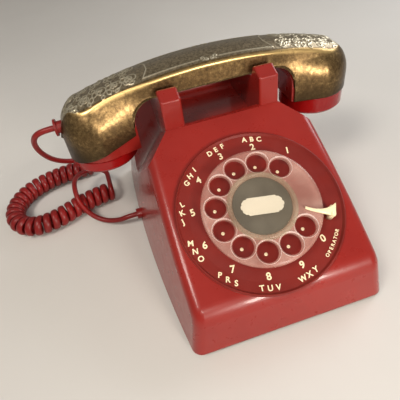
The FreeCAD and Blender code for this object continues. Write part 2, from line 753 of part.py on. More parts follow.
def make_pulse_springs():
    block = box(-6, 6, -37, -30, FRAME_W0 - 8, FRAME_W0)
    blades = []
    for k in range(3):
        w = FRAME_W0 - 2.0 - 2.4 * k
        blades.append(box(-20, -6, -35, -32, w - 0.5, w))
    return join([block] + blades)


def make_dial_brackets():
    brackets = []
    low = PLATE_TOP
    for side in (-1, 1):
        x0 = side * BRACKET_X - BRACKET_THICK / 2
        top = [DIAL_FRAME.multVec(V(0, v, FRAME_W0)) for v in (13.0, -13.0)]
        points = [V(x0, -70, low), V(x0, -30, low), V(x0, top[0].y, top[0].z), V(x0, top[1].y, top[1].z)]
        web = prism(points, [0, 0, 0, 0], V(BRACKET_THICK, 0, 0))
        inner = side * (BRACKET_X - 7)
        foot = box(min(inner, x0), max(inner, x0 + BRACKET_THICK), -70, -30, low, low + BRACKET_THICK)
        brackets.append(join([web, foot]))
    return brackets


# Hookswitch

def make_plunger(side):
    x = side * PLUNGER_X
    foot = LEVER_TOP + 0.3
    dome = lathe([(0, PLUNGER_TOP), (2.2, PLUNGER_TOP), (PLUNGER_RADIUS, PLUNGER_TOP - 1.2),
                  (PLUNGER_RADIUS, foot), (0, foot)], V(x, CRADLE_Y, 0))
    return dome


def pivot_rod(radius, reach):
    return rod(radius, V(-reach, LEVER_PIVOT_Y, LEVER_PIVOT_Z), V(reach, LEVER_PIVOT_Y, LEVER_PIVOT_Z))


def make_hook_lever():
    z0 = LEVER_TOP - LEVER_THICK
    half = PLUNGER_X + 3
    bar = box(-half, half, CRADLE_Y - 4, CRADLE_Y + 4, z0, LEVER_TOP)
    parts = [bar]
    for side in (-1, 1):
        x = side * (UPRIGHT_X - 4)
        parts.append(box(x - 2, x + 2, CRADLE_Y, LEVER_PIVOT_Y, z0, LEVER_TOP))
        parts.append(rod(3.2, V(x - 2, LEVER_PIVOT_Y, LEVER_PIVOT_Z), V(x + 2, LEVER_PIVOT_Y, LEVER_PIVOT_Z)))
    lever = join(parts)
    return lever.cut(pivot_rod(PIVOT_RADIUS + 0.1, UPRIGHT_X))


def make_hookswitch_bracket():
    parts = [box(-UPRIGHT_X - 1.5, UPRIGHT_X + 1.5, LEVER_PIVOT_Y - 7, LEVER_PIVOT_Y + 6, PLATE_TOP,
                 PLATE_TOP + 1.5)]
    for side in (-1, 1):
        x = side * UPRIGHT_X
        y0 = LEVER_PIVOT_Y - 5
        points = [V(x - 0.75, y0, PLATE_TOP), V(x - 0.75, y0 + 10, PLATE_TOP),
                  V(x - 0.75, y0 + 10, LEVER_PIVOT_Z + 5), V(x - 0.75, y0, LEVER_PIVOT_Z + 5)]
        parts.append(prism(points, [0, 0, 4, 4], V(1.5, 0, 0)))
    parts.append(pivot_rod(PIVOT_RADIUS, UPRIGHT_X + 1))
    parts.append(box(-UPRIGHT_X, UPRIGHT_X, LEVER_PIVOT_Y - 4, LEVER_PIVOT_Y + 4, 46, 47.5))
    return join(parts)


def make_hookswitch_contacts():
    z = 47.5
    block = box(-7, 7, LEVER_PIVOT_Y - 4, LEVER_PIVOT_Y + 4, z, z + 9)
    blades = []
    for k in range(4):
        z0 = z + 1.2 + 2.0 * k
        blades.append(box(-5, 5, LEVER_PIVOT_Y - 26, LEVER_PIVOT_Y - 4, z0, z0 + 0.5))
    return join([block] + blades)


# Handset

def crown_z(x):
    return CROWN_Z - CROWN_RADIUS + math.sqrt(CROWN_RADIUS ** 2 - x * x)


def handset_side(inset, lower_z, inner_x, left_rim, right_rim):
    end = HALF_LENGTH - inset
    drop = inset
    sweep = COVER_SWEEP
    shoulder = crown_z(end) - drop
    top = [V(-end, 0, shoulder), V(0, 0, CROWN_Z - drop), V(end, 0, shoulder)]
    crown = Part.Arc(top[0], top[1], top[2]).toShape()
    low = [
        Part.makeLine(top[2], V(end, 0, right_rim)),
        Part.makeLine(V(end, 0, right_rim), V(inner_x, 0, right_rim)),
    ]
    corner = sweep * (1 - math.sqrt(0.5))
    right_arc = Part.Arc(V(inner_x, 0, lower_z - sweep), V(inner_x - corner, 0, lower_z - corner),
                         V(inner_x - sweep, 0, lower_z)).toShape()
    left_arc = Part.Arc(V(-inner_x + sweep, 0, lower_z), V(-inner_x + corner, 0, lower_z - corner),
                        V(-inner_x, 0, lower_z - sweep)).toShape()
    path = [crown] + low + [
        Part.makeLine(V(inner_x, 0, right_rim), V(inner_x, 0, lower_z - sweep)), right_arc,
        Part.makeLine(V(inner_x - sweep, 0, lower_z), V(-inner_x + sweep, 0, lower_z)), left_arc,
        Part.makeLine(V(-inner_x, 0, lower_z - sweep), V(-inner_x, 0, left_rim)),
        Part.makeLine(V(-inner_x, 0, left_rim), V(-end, 0, left_rim)),
        Part.makeLine(V(-end, 0, left_rim), top[0]),
    ]
    slab = Part.Face(Part.Wire(path)).extrude(V(0, 100, 0))
    slab.translate(V(0, CRADLE_Y - 50, 0))
    tips = []
    for edge in slab.Edges:
        ends = edge.Vertexes
        if len(ends) == 2 and all(abs(abs(v.X) - end) < 1e-4 and v.Z > shoulder - 1e-3 for v in ends):
            tips.append(edge)
    wall = crown_z(HALF_LENGTH) - max(TRANSMITTER_RIM, RECEIVER_RIM)
    return slab.makeFillet(min(END_ROUND, wall * END_ROUND_LIMIT) - inset, tips)


def handset_section(x, outline, inset):
    half = [(y - inset, z) for y, z in outline]
    right = [V(x, CRADLE_Y + y, z) for y, z in half]
    left = [V(x, CRADLE_Y - y, z) for y, z in reversed(half)]
    return Part.makePolygon(right + left + right[:1])


def handset_plan(inset):
    handle = [(HANDLE_HALF_WIDTH, z) for z in (FLANK_FOOT, CUP_SHOULDER, FLANK_KNEE)]
    handle.append((HANDLE_HALF_TOP, FLANK_TOP))
    cup = [(CUP_RADIUS, FLANK_FOOT), (CUP_RADIUS, CUP_SHOULDER), (CUP_KNEE, FLANK_KNEE), (CUP_TIP, FLANK_TOP)]
    grip = [handset_section(-NECK_X, handle, inset), handset_section(NECK_X, handle, inset)]
    parts = [Part.makeLoft(grip, True, True)]
    for side in (-1, 1):
        neck = [handset_section(side * NECK_X, handle, inset), handset_section(side * CUP_X, cup, inset)]
        parts.append(Part.makeLoft(neck, True, True))
        turned = [(y - inset, z) for y, z in cup]
        profile = [(0, FLANK_FOOT)] + turned + [(0, FLANK_TOP)]
        parts.append(lathe(profile, V(side * CUP_X, CRADLE_Y, 0)))
    return join(parts)


def handset_vault(inset):
    radius = VAULT_RADIUS - inset
    top = CROWN_Z - inset
    half = min(VAULT_HALF, radius - 1)
    edge = top - radius + math.sqrt(radius ** 2 - half ** 2)
    left = V(0, CRADLE_Y - half, edge)
    right = V(0, CRADLE_Y + half, edge)
    foot = V(0, 0, FLANK_FOOT - edge)
    wire = [Part.Arc(left, V(0, CRADLE_Y, top), right).toShape(), Part.makeLine(right, right + foot),
            Part.makeLine(right + foot, left + foot), Part.makeLine(left + foot, left)]
    face = Part.Face(Part.Wire(wire))
    centre = V(0, CRADLE_Y, CROWN_Z - CROWN_RADIUS)
    face.rotate(centre, V(0, 1, 0), -VAULT_TURN_DEG)
    return face.revolve(centre, V(0, 1, 0), 2 * VAULT_TURN_DEG)


def handset_envelope(inset, lower_z, inner_x, left_rim, right_rim):
    side = handset_side(inset, lower_z, inner_x, left_rim, right_rim)
    return side.common(handset_plan(inset)).common(handset_vault(inset))


def make_handset_cover():
    outside = handset_envelope(0, COVER_LOWER_Z, COVER_INNER_X, TRANSMITTER_RIM, RECEIVER_RIM)
    cover = outside.cut(cover_core())
    return cover.cut(handset_bush_bore(BUSH_RADIUS + 0.2, 9.0))


def handset_bush_bore(radius, depth):
    inner = V(depth - HALF_LENGTH, CRADLE_Y, HANDSET_BUSH_Z)
    return rod(radius, inner + V(-depth - 21, 0, 0), inner)


def cover_core():
    return handset_envelope(COVER_WALL, COVER_LOWER_Z - 20, COVER_INNER_X - 20, 40.0, 40.0)


def make_handset_handle():
    inset = COVER_WALL + COVER_GAP
    inner_x = COVER_INNER_X - 1.5
    body = handset_envelope(inset, HANDLE_UNDER_Z, inner_x, TRANSMITTER_RIM, RECEIVER_RIM)
    cutters = []
    for side, rim in ((-1, TRANSMITTER_RIM), (1, RECEIVER_RIM)):
        c = V(side * CUP_X, CRADLE_Y, 0)
        body = body.fuse(rod(NECK_RADIUS, c + V(0, 0, rim - NECK_DROP), c + V(0, 0, rim + 3)))
        cutters.append(rod(NECK_BORE, c + V(0, 0, 40), c + V(0, 0, CUP_BORE_TOP)))
        x = side * WIRE_BORE_X
        cutters.append(rod(3, V(x, CRADLE_Y, CUP_BORE_TOP - 2), V(x, CRADLE_Y, 115)))
    cutters.append(rod(3, V(-WIRE_BORE_X, CRADLE_Y, 115), V(WIRE_BORE_X, CRADLE_Y, 115)))
    cutters.append(handset_bush_bore(BUSH_RADIUS, 14.0))
    return body.cut(cutters)


def make_cap(side, rim, rings):
    c = V(side * CUP_X, CRADLE_Y, 0)
    r = CAP_RADIUS
    low = CAP_BOTTOM
    inner = NECK_RADIUS + FIT
    cap = lathe([(0, low + 1.2), (8, low + 0.8), (r - 4, low), (r - 1.2, low + 0.5), (r, low + 2.2),
                 (r, rim - 0.4), (r - 0.5, rim - FIT), (inner, rim - FIT), (inner, low + 2.8),
                 (r - 5, low + CAP_WALL), (8, low + CAP_WALL + 0.8), (0, low + CAP_WALL + 1.2)], c)
    holes = []
    for count, radius in rings:
        for i in range(count):
            angle = 2 * math.pi * i / count
            at = c + V(radius * math.cos(angle), radius * math.sin(angle), 0)
            holes.append(rod(CAP_HOLE, at + V(0, 0, 50), at + V(0, 0, low + 6)))
    return cap.cut(holes)


def make_insert(side, z0, z1, z2):
    c = V(side * CUP_X, CRADLE_Y, 0)
    return lathe([(0, z0 + 1), (10, z0 + 1), (14, z0), (INSERT_RADIUS, z0), (INSERT_RADIUS, z1),
                  (13, z1), (12, z2), (0, z2)], c)


def make_transmitter_cup():
    c = V(-CUP_X, CRADLE_Y, 0)
    z1 = CUP_BORE_TOP
    z0 = TRANSMITTER_RIM + 9.0
    return lathe([(0, z1), (INSERT_RADIUS, z1), (INSERT_RADIUS, z0), (INSERT_RADIUS - 2, z0),
                  (INSERT_RADIUS - 2, z1 - 2), (0, z1 - 2)], c)


def make_bush(start, end, flange_at):
    way = (end - start).normalize()
    bush = rod(BUSH_RADIUS - 0.1, start, end)
    collar = rod(BUSH_RADIUS + COLLAR, flange_at, flange_at + way * 1.5)
    return join([bush, collar])


def make_inlet_grommet():
    a = V(INLET_X, 88, INLET_Z)
    b = V(INLET_X, 102.8, INLET_Z)
    body = join([rod(INLET_RADIUS - 0.1, a, b), rod(INLET_RADIUS + COLLAR, a, a + V(0, 6, 0))])
    return body.cut(rod(INLET_BORE, a - V(0, 1, 0), b + V(0, 1, 0)))


# Cord

def tube_path(points, name):
    edges = []
    radii = []
    last = points[0]
    for i in range(1, len(points) - 1):
        back = points[i - 1] - points[i]
        ahead = points[i + 1] - points[i]
        turn = math.pi - back.getAngle(ahead)
        run = min(back.Length, ahead.Length)
        reach = 0.45 * run
        radius = reach / math.tan(turn / 2)
        radii.append(radius)
        a = back.normalize()
        b = ahead.normalize()
        middle = (a + b).normalize()
        near = radius / math.cos(turn / 2) - radius
        start = points[i] + a * reach
        end = points[i] + b * reach
        edges.append(Part.makeLine(last, start))
        edges.append(Part.Arc(start, points[i] + middle * near, end).toShape())
        last = end
    edges.append(Part.makeLine(last, points[-1]))
    print(name, "radii", [round(r, 1) for r in radii], "length", round(sum(e.Length for e in edges), 1))
    return Part.Wire(edges)


def tube(path, name):
    start = path.Edges[0].Vertexes[0].Point
    way = path.Edges[0].tangentAt(path.Edges[0].FirstParameter)
    section = Part.Wire(Part.makeCircle(CORD_RADIUS, start, way))
    shell = Part.BRepOffsetAPI.MakePipeShell(path)
    shell.add(section, False, False)
    shell.build()
    shell.makeSolid()
    solid = shell.shape()
    expected = math.pi * CORD_RADIUS ** 2 * path.Length
    print(name, "volume over section times length", round(solid.Volume / expected, 4), solid.isValid())
    return solid


def smooth_route(points):
    curve = Part.BSplineCurve()
    curve.interpolate([V(x, y, COIL_HEIGHT) for x, y in points])
    return curve.toShape()


def coil_turns(length):
    return round(length / COIL_PITCH)


def coil_point(route, turns, t):
    length = route.Length
    s = min(max(t, 0.0), 1.0) * length
    u = route.getParameterByLength(s)
    centre = route.valueAt(u)
    way = route.tangentAt(u)
    side = way.cross(V(0, 0, 1)).normalize()
    angle = math.pi / 2 + 2 * math.pi * turns * t
    return centre + side * (COIL_RADIUS * math.cos(angle)) + V(0, 0, COIL_RADIUS * math.sin(angle))


def coil_way(route, turns, t):
    step = 0.0005
    a = max(t - step, 0.0)
    b = min(t + step, 1.0)
    return (coil_point(route, turns, b) - coil_point(route, turns, a)).normalize()


def arc_from(start, way, end):
    chord = end - start
    across = chord - way * chord.dot(way)
    lift = across.Length
    radius = chord.dot(chord) / (2 * lift)
    centre = start + across.normalize() * radius
    middle = centre + (start + chord * 0.5 - centre).normalize() * radius
    return Part.Arc(start, middle, end).toShape(), radius


def biarc(p0, t0, p1, t1):
    v = p1 - p0
    total = t0 + t1
    den = 2 * (1 - t0.dot(t1))
    vt = v.dot(total)
    d = (-vt + math.sqrt(vt * vt + den * v.dot(v))) / den
    joint = (p0 + p1 + (t0 - t1) * d) * 0.5
    first, r1 = arc_from(p0, t0, joint)
    second, r2 = arc_from(p1, t1 * -1, joint)
    back = second.Curve
    a = second.FirstParameter
    b = second.LastParameter
    turned = Part.Arc(joint, back.value((a + b) / 2), p1).toShape()
    return first, turned, min(r1, r2)


def make_coil():
    route = smooth_route(COIL_ROUTE)
    turns = coil_turns(route.Length)
    halves = 2 * turns
    ends = []
    for t in (0.0, 1.0):
        ends.append((coil_point(route, turns, t), flat_way(route, turns, t)))
    lead = 2 * CORD_RADIUS
    start = ends[0][0] - ends[0][1] * lead
    finish = ends[1][0] + ends[1][1] * lead
    edges = [Part.makeLine(start, ends[0][0])]
    least = 1e9
    here, way = ends[0]
    for i in range(1, halves + 1):
        t = i / halves
        point = coil_point(route, turns, t)
        ahead = coil_way(route, turns, t) if i < halves else ends[1][1]
        first, second, radius = biarc(here, way, point, ahead)
        least = min(least, radius)
        edges += [first, second]
        here = point
        way = ahead
    edges.append(Part.makeLine(here, finish))
    path = Part.Wire(edges)
    print("coil turns", turns, "least radius", round(least, 2), "length", round(path.Length, 1))
    print("coil least gap to itself", round(self_gap(path, turns), 2))
    return tube(path, "coil"), (start, ends[0][1] * -1), (finish, ends[1][1])


def flat_way(route, turns, t):
    way = coil_way(route, turns, t)
    return V(way.x, way.y, 0).normalize()


def self_gap(path, turns):
    points = path.discretize(turns * 24)
    skip = 12
    least = 1e9
    for i in range(len(points)):
        for k in range(i + skip, min(i + 40, len(points))):
            least = min(least, (points[i] - points[k]).Length)
    return least - 2 * CORD_RADIUS


def vectors(points):
    return [V(*p) for p in points]


# Everything in its place, one file for each piece

def build():
    coil, (near, near_way), (far, far_way) = make_coil()
    base_tail = vectors(BASE_TAIL_ROUTE) + [near + near_way * TAIL_LEAD, near]
    handset_tail = vectors(HANDSET_TAIL_ROUTE) + [far + far_way * HANDSET_TAIL_LEAD, far]
    base_exit = V(BASE_BUSH_X, BASE_BUSH_Y, BASE_BUSH_Z)
    base_root = base_exit + V(BASE_BUSH_LENGTH, 0, 0)
    handset_exit = V(HANDSET_BUSH_X, CRADLE_Y, HANDSET_BUSH_Z)
    handset_root = V(HANDSET_BUSH_ROOT - HALF_LENGTH, CRADLE_Y, HANDSET_BUSH_Z)
    pieces = {
        "base_plate": make_base_plate(),
        "rubber_feet": make_feet(),
        "housing": make_housing(),
        "housing_screws": make_housing_screws(),
        "network_block": make_network_block(),
        "network_terminals": make_network_terminals(),
        "ringer_frame": make_ringer_frame(),
        "ringer_coil": make_ringer_coil(),
        "ringer_gong_left": make_gong(-1),
        "ringer_gong_right": make_gong(1),
        "gong_screws": make_gong_screws(),
        "clapper": make_clapper(),
        "ringer_volume_wheel": make_volume_wheel(),
        "finger_wheel": on_dial(make_finger_wheel()),
        "number_card": on_dial(make_number_card()),
        "card_retainer": on_dial(make_card_retainer()),
        "wheel_screw": on_dial(make_wheel_screw()),
        "dial_shaft": on_dial(make_dial_shaft()),
        "main_gear": on_dial(gear(MAIN_TEETH, GEAR_W0, GEAR_W1, SHAFT_RADIUS + 0.05, 90)),
        "number_plate": on_dial(make_number_plate()),
        "dial_frame": on_dial(make_dial_frame()),
        "dial_screws": [on_dial(s) for s in make_dial_screws()],
        "dial_brackets": make_dial_brackets(),
        "finger_stop": on_dial(make_finger_stop()),
        "governor_cup": on_dial(make_governor_cup()),
        "governor_rotor": on_dial(make_governor_rotor()),
        "governor_weights": [on_dial(s) for s in make_governor_weights()],
        "return_spring": on_dial(make_return_spring()),
        "pulse_springs": on_dial(make_pulse_springs()),
        "plunger_left": make_plunger(-1),
        "plunger_right": make_plunger(1),
        "hook_lever": make_hook_lever(),
        "hookswitch_bracket": make_hookswitch_bracket(),
        "hookswitch_contacts": make_hookswitch_contacts(),
        "handset_handle": make_handset_handle(),
        "handset_cover": make_handset_cover(),
        "transmitter_cap": make_cap(-1, TRANSMITTER_RIM, [(1, 0.0), (6, 6.0), (12, 12.0)]),
        "receiver_cap": make_cap(1, RECEIVER_RIM, [(1, 0.0), (6, 5.0)]),
        "transmitter_unit": make_insert(-1, CAP_BOTTOM + 4.0, CAP_BOTTOM + 12.0, TRANSMITTER_RIM + 12.0),
        "receiver_unit": make_insert(1, CAP_BOTTOM + 4.0, CAP_BOTTOM + 16.0, RECEIVER_RIM + 12.0),
        "transmitter_cup": make_transmitter_cup(),
        "handset_cord_bush": make_bush(handset_root, handset_exit,
                                       handset_exit + V(1.5, 0, 0)),
        "base_cord_bush": make_bush(base_root, base_exit, base_root),
        "line_inlet_grommet": make_inlet_grommet(),
        "handset_cord_coil": coil,
        "cord_base_tail": tube(tube_path(base_tail, "base tail"), "base tail"),
        "cord_handset_tail": tube(tube_path(handset_tail, "handset tail"), "handset tail"),
    }
    os.makedirs("parts", exist_ok=True)
    for name, shape in pieces.items():
        solid = Part.makeCompound(shape) if isinstance(shape, list) else shape
        solid.exportStep(os.path.join("parts", name + ".step"))
        print(name, len(solid.Solids), round(solid.Volume, 1), solid.isValid())


build()
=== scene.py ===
import json
import math
import bmesh
import bpy
import numpy as np
from mathutils import Matrix, Vector


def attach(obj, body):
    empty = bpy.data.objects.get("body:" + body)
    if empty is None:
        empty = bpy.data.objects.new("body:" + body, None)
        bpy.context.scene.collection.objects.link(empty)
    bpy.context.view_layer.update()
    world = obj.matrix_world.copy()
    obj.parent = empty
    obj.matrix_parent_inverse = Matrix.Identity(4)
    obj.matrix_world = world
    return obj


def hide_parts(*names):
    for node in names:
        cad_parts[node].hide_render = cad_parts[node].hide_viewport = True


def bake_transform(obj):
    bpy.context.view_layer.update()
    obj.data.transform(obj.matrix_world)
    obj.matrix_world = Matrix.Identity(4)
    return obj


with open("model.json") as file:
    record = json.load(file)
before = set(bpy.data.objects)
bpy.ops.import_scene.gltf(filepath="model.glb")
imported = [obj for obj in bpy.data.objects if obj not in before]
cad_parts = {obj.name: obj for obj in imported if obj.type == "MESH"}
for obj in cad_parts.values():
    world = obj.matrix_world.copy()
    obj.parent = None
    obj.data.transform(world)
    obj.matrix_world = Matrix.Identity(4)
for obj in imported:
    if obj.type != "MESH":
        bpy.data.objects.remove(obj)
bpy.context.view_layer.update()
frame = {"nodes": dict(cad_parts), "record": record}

# Sizes are in millimetres, but those of lamps, floor and grain are in metres
MM = 0.001

# Camera, solved from the dial's ellipses and the housing's corners
CAMERA_PLACE = Vector((-69.2, -217.6, 240.6)) * MM
CAMERA_FORWARD = Vector((0.1388, 0.7147, -0.6855))
CAMERA_RIGHT = Vector((0.9499, -0.2917, -0.1118))
CAMERA_LENS = 36.0
CAMERA_SENSOR = 36.0
CAMERA_NEAR = 10.0

# Dial frame, as in the model: zero on the wheel's top
DIAL_CENTRE = Vector((0, -56.5, 67.0))
DIAL_SLOPE = math.radians(28.0)
DISH_W = -8.0
DISH_FLAT_RADIUS = 45.5
DISH_EDGE_RADIUS = 51.8
DISH_EDGE_W = -7.5
CARD_TOP = -0.3

# Finger holes and the painted highlights on their rims
HOLE_COUNT = 10
HOLE_CIRCLE = 28.7
HOLE_RADIUS = 6.6
HOLE_BEVEL = 0.9
HOLE_FIRST_DEG = 46.0
HOLE_STEP_DEG = 30.0
RIM_THIN = 0.2
RIM_GAIN = 0.45
RIM_LIT_DEG = 75.0
RIM_GAP = 0.1
RIM_SINK = 0.05
RIM_STEPS = 48
RIM_SIDES = 8

# Lettering on the number plate
LETTER_GROUPS = ("", "ABC", "DEF", "GHI", "JKL", "MNO", "PRS", "TUV", "WXY", "OPERATOR")
DIGIT_RADIUS = 42.2
DIGIT_LIFT = 1.3
DIGIT_SIZE = 6.2
DIGIT_WEIGHT = 0.16
DIGIT_LEAN_SHARE = 0.4
ONE_RADIUS = 46.0
LETTER_RADIUS = 49.1
LETTER_SIZE = 4.8
LETTER_WEIGHT = 0.13
LETTER_LEAN = 20.0
LETTER_STEP_DEG = 5.5
SIDE_STEP_DEG = 1.1
OPERATOR_SIZE = 3.0
OPERATOR_WEIGHT = 0.08
OPERATOR_STEP_DEG = 2.9
GLYPH_THICK = 0.12
GLYPH_RISE = 0.08

# Aiming dots, blank label and the card retainer's rim
DOT_RADIUS = 1.15
DOT_RISE = 0.18
DOT_SINK = 0.05
DOT_TAPER = 0.82
DOT_SIDES = 20
LABEL_HALF = (13.6, 5.6)
LABEL_CUT = 3.6
LABEL_THICK = 0.2
LABEL_GAP = 0.02
LABEL_ROUND = 1.2
LABEL_TURN = math.radians(-9.0)
RETAINER_STEPS = 96
RETAINER_PROFILE = [(18.7, 0.02), (19.4, 1.57), (20.6, 1.97), (21.6, 1.32), (22.2, 0.17)]

# Finger stop, in the dial frame
STOP_ANGLE = math.radians(-22.0)
STOP_TIP = 25.6
STOP_END = 44.5
STOP_STATIONS = 28
STOP_SIDES = 12
STOP_BOW = 8.0
STOP_SWING = 0.6
STOP_TIP_HALF = 0.9
STOP_FLARE = 3.3
STOP_TOP = 2.2
STOP_ARCH = 1.2
STOP_DROP = 0.6
STOP_LEAN = 0.9
STOP_THICK = 0.9
STOP_THICKEN = 0.5
STOP_LEG_LONG = 3.0
STOP_LEG_HALF = 3.4
STOP_LEG_MIDDLE = -3.5
STOP_LEG_TOP = 1.6
STOP_LEG_PINCH = 0.9

# Handset cover
HALF_LENGTH = 109.0
CUP_X = 84.0
CUP_RADIUS = 25.5
HANDLE_HALF = 17.0
NECK_X = 44.0
CROWN_Z = 127.5
CROWN_RADIUS = 330.0
END_ROUND = 24.0
COVER_LOW = 110.8
COVER_INNER_X = 60.0
COVER_SWEEP = 15.0
COVER_WALL = 1.2
RIM_INNER = {-1: 87.0, 1: 80.0}
RIM_OUTER = {-1: 73.0, 1: 80.0}
HANDSET_Y = 43.0
SHOULDER_Z = 93.0
KNEE_Z = 110.0
FLANK_TOP = 140.0
HANDLE_TOP_HALF = 16.0
VAULT_RADIUS = 36.0
CUP_KNEE = 18.0
CUP_TIP = 3.0
PANEL_IN = 47.0
PANEL_OUT = 101.0
BAND_HALF = 13.4
LINE_HALF = 11.4
SKIRT_ROWS = 16
FLANK_ROWS = 26
TOP_ROWS = 34
SOFTEN_ACROSS = 5
SOFTEN_ALONG = 14

# Marks on the cover: relief, sunk band, worn ridge with a painted highlight, and darkening at the lower rim
# and ends
RELIEF_RISE = 0.55
PANEL_SINK = 0.2
PANEL_FADE = 0.8
WEAR_HIGHLIGHT_ROWS = 3.5
WEAR_HIGHLIGHT_END = 8.0
WEAR_HIGHLIGHT_FADE = 12.0
DARKENING_SKIRT = 0.75
DARKENING_FADE = 20.0
DARKENING_END = 0.6
DARKENING_REACH = 14.0
SCROLL_COUNT = 5
SCROLL_STEP = 11.0
SCROLL_RADIUS = 5.6
SCROLL_SHRINK = 0.35
SCROLL_START = 6.0
SCROLL_SIDE = 7.0
SCROLL_CLOSE = 0.84
SCROLL_POINTS = 60
LEAF_FAN = ((25, 6.4), (75, 5.2), (125, 4.4))
LEAF_WIDTH = 0.30
LEAF_POINTS = 16
LINE_SPACING = 0.35
FRAME_POINT = 5.0
FRAME_FLAT = 4.0
STROKE_HALF = 0.44
STROKE_EDGE = 1.25

# Cord
CORD_RADIUS = 2.1
STRAND_WIDE = 3.2
STRAND_THIN = 1.75
STRAND_SHARE = 0.47
COIL_RADIUS = 6.6
COIL_PITCH = 6.6
COIL_HEIGHT = 8.8
TAIL_LEAD = 10.0
HANDSET_TAIL_LEAD = 13.0
COIL_ROUTE = [
    (-92.0, 68.5), (-108.0, 66.0), (-124.0, 60.0), (-140.0, 52.0), (-157.0, 48.5), (-171.0, 54.5),
    (-178.0, 68.0), (-176.5, 84.0), (-167.0, 98.0), (-151.0, 107.5), (-133.0, 112.0), (-116.0, 113.2),
    (-106.0, 113.2),
]
BASE_TAIL_ROUTE = [
    (-76.0, 28.2, 10.0), (-83.0, 28.2, 10.0), (-92.0, 31.0, 6.0), (-104.0, 37.5, 4.5), (-114.0, 44.5, 9.5),
    (-120.0, 52.5, 19.5), (-121.0, 63.5, 25.0), (-120.5, 75.5, 25.0), (-117.5, 86.0, 22.0),
    (-110.0, 93.5, 19.0), (-100.5, 94.5, 17.0), (-93.0, 89.0, 15.9),
]
HANDSET_TAIL_ROUTE = [
    (-112.5, 43.0, 97.0), (-121.5, 43.0, 97.0), (-129.0, 46.0, 92.5), (-133.0, 54.0, 81.0),
    (-132.5, 63.5, 66.5), (-128.5, 72.0, 53.5), (-120.5, 79.5, 43.5), (-109.5, 86.0, 37.0),
    (-98.0, 92.5, 32.5), (-87.5, 100.5, 28.5), (-79.0, 110.0, 25.5), (-74.5, 120.0, 23.0),
    (-73.6, 130.0, 20.8), (-76.5, 138.8, 19.0), (-84.0, 144.3, 17.6), (-93.2, 144.3, 16.6),
    (-100.7, 138.8, 15.8),
]
LEAD_EXTRA = 4.0
TUBE_SIDES = 14
CURL_STEPS = 36
WAY_REACH = 4.0

# Lamps: place, size, power, colour and spread in degrees
LAMP_TARGET = (0, 0, 0.07)
LAMPS = {
    "key": ((-0.55, -0.35, 1.0), 0.35, 6.6, (1.0, 0.93, 0.84), 180.0),
    "front": ((-0.1, -0.8, 0.62), 0.12, 2.0, (1.0, 0.92, 0.82), 180.0),
    "rim": ((0.7, 0.25, 0.55), 0.4, 3.0, (0.95, 0.97, 1.0), 180.0),
    "window": ((0.2, -0.8, 0.24), 0.2, 0.46, (1.0, 0.93, 0.84), 50.0),
}
ROOM_COLOUR = (0.9, 0.86, 0.8, 1)
ROOM_STRENGTH = 0.32
FLOOR_HALF = 4.0
FLOOR_DARK = (0.62, 0.60, 0.57, 1)
FLOOR_LIGHT = (0.66, 0.64, 0.61, 1)

# Looks of plastics: light and dark tone, least and most roughness, coat, grain in metres
FINE_GRAIN = 0.000004
RUBBER_GRAIN = 0.0001
PLASTICS = {
    "housing_red": ((138, 33, 26), (129, 28, 22), 0.26, 0.34, 0.4, FINE_GRAIN),
    "plate_red": ((120, 31, 23), (103, 23, 17), 0.36, 0.48, 0.1, FINE_GRAIN),
    "cap_red": ((140, 14, 14), (120, 8, 9), 0.16, 0.26, 0.4, FINE_GRAIN),
    "cord_red": ((128, 20, 18), (104, 13, 12), 0.34, 0.46, 0.12, FINE_GRAIN),
    "cream": ((240, 226, 190), (226, 208, 168), 0.3, 0.42, 0.2, FINE_GRAIN),
    "label_paper": ((234, 228, 214), (220, 212, 196), 0.45, 0.6, 0.0, FINE_GRAIN),
    "card_grey": ((74, 70, 65), (62, 58, 53), 0.5, 0.65, 0.0, FINE_GRAIN),
    "black_plastic": ((40, 38, 36), (26, 25, 24), 0.4, 0.55, 0.05, FINE_GRAIN),
    "foot_rubber": ((44, 42, 40), (30, 29, 28), 0.7, 0.85, 0.0, RUBBER_GRAIN),
}

# Looks of clear pieces: tint, light and dark haze, share of haze, roughness
CLEARS = {
    "clear_plastic": ((0.97, 0.92, 0.91, 1), (226, 184, 170), (200, 152, 138), 0.3, 0.16),
    "clear_ring": ((0.97, 0.96, 0.94, 1), (190, 178, 156), (160, 146, 122), 0.09, 0.08),
    "clear_edge": ((1, 0.97, 0.96, 1), (236, 212, 204), (220, 190, 182), 0.5, 0.2),
    "clear_aged": ((0.98, 0.95, 0.88, 1), (214, 206, 184), (178, 168, 144), 0.24, 0.14),
}

# Looks of plain metals: light and dark tone, least and most roughness
METALS = {
    "gong_metal": ((214, 184, 120), (180, 148, 88), 0.2, 0.35),
    "steel": ((196, 196, 192), (150, 150, 146), 0.28, 0.45),
    "copper": ((190, 112, 66), (140, 76, 42), 0.3, 0.5),
}


# Materials

def linear(r, g, b):
    def one(c):
        c = c / 255
        return c / 12.92 if c <= 0.04045 else ((c + 0.055) / 1.055) ** 2.4
    return one(r), one(g), one(b), 1.0


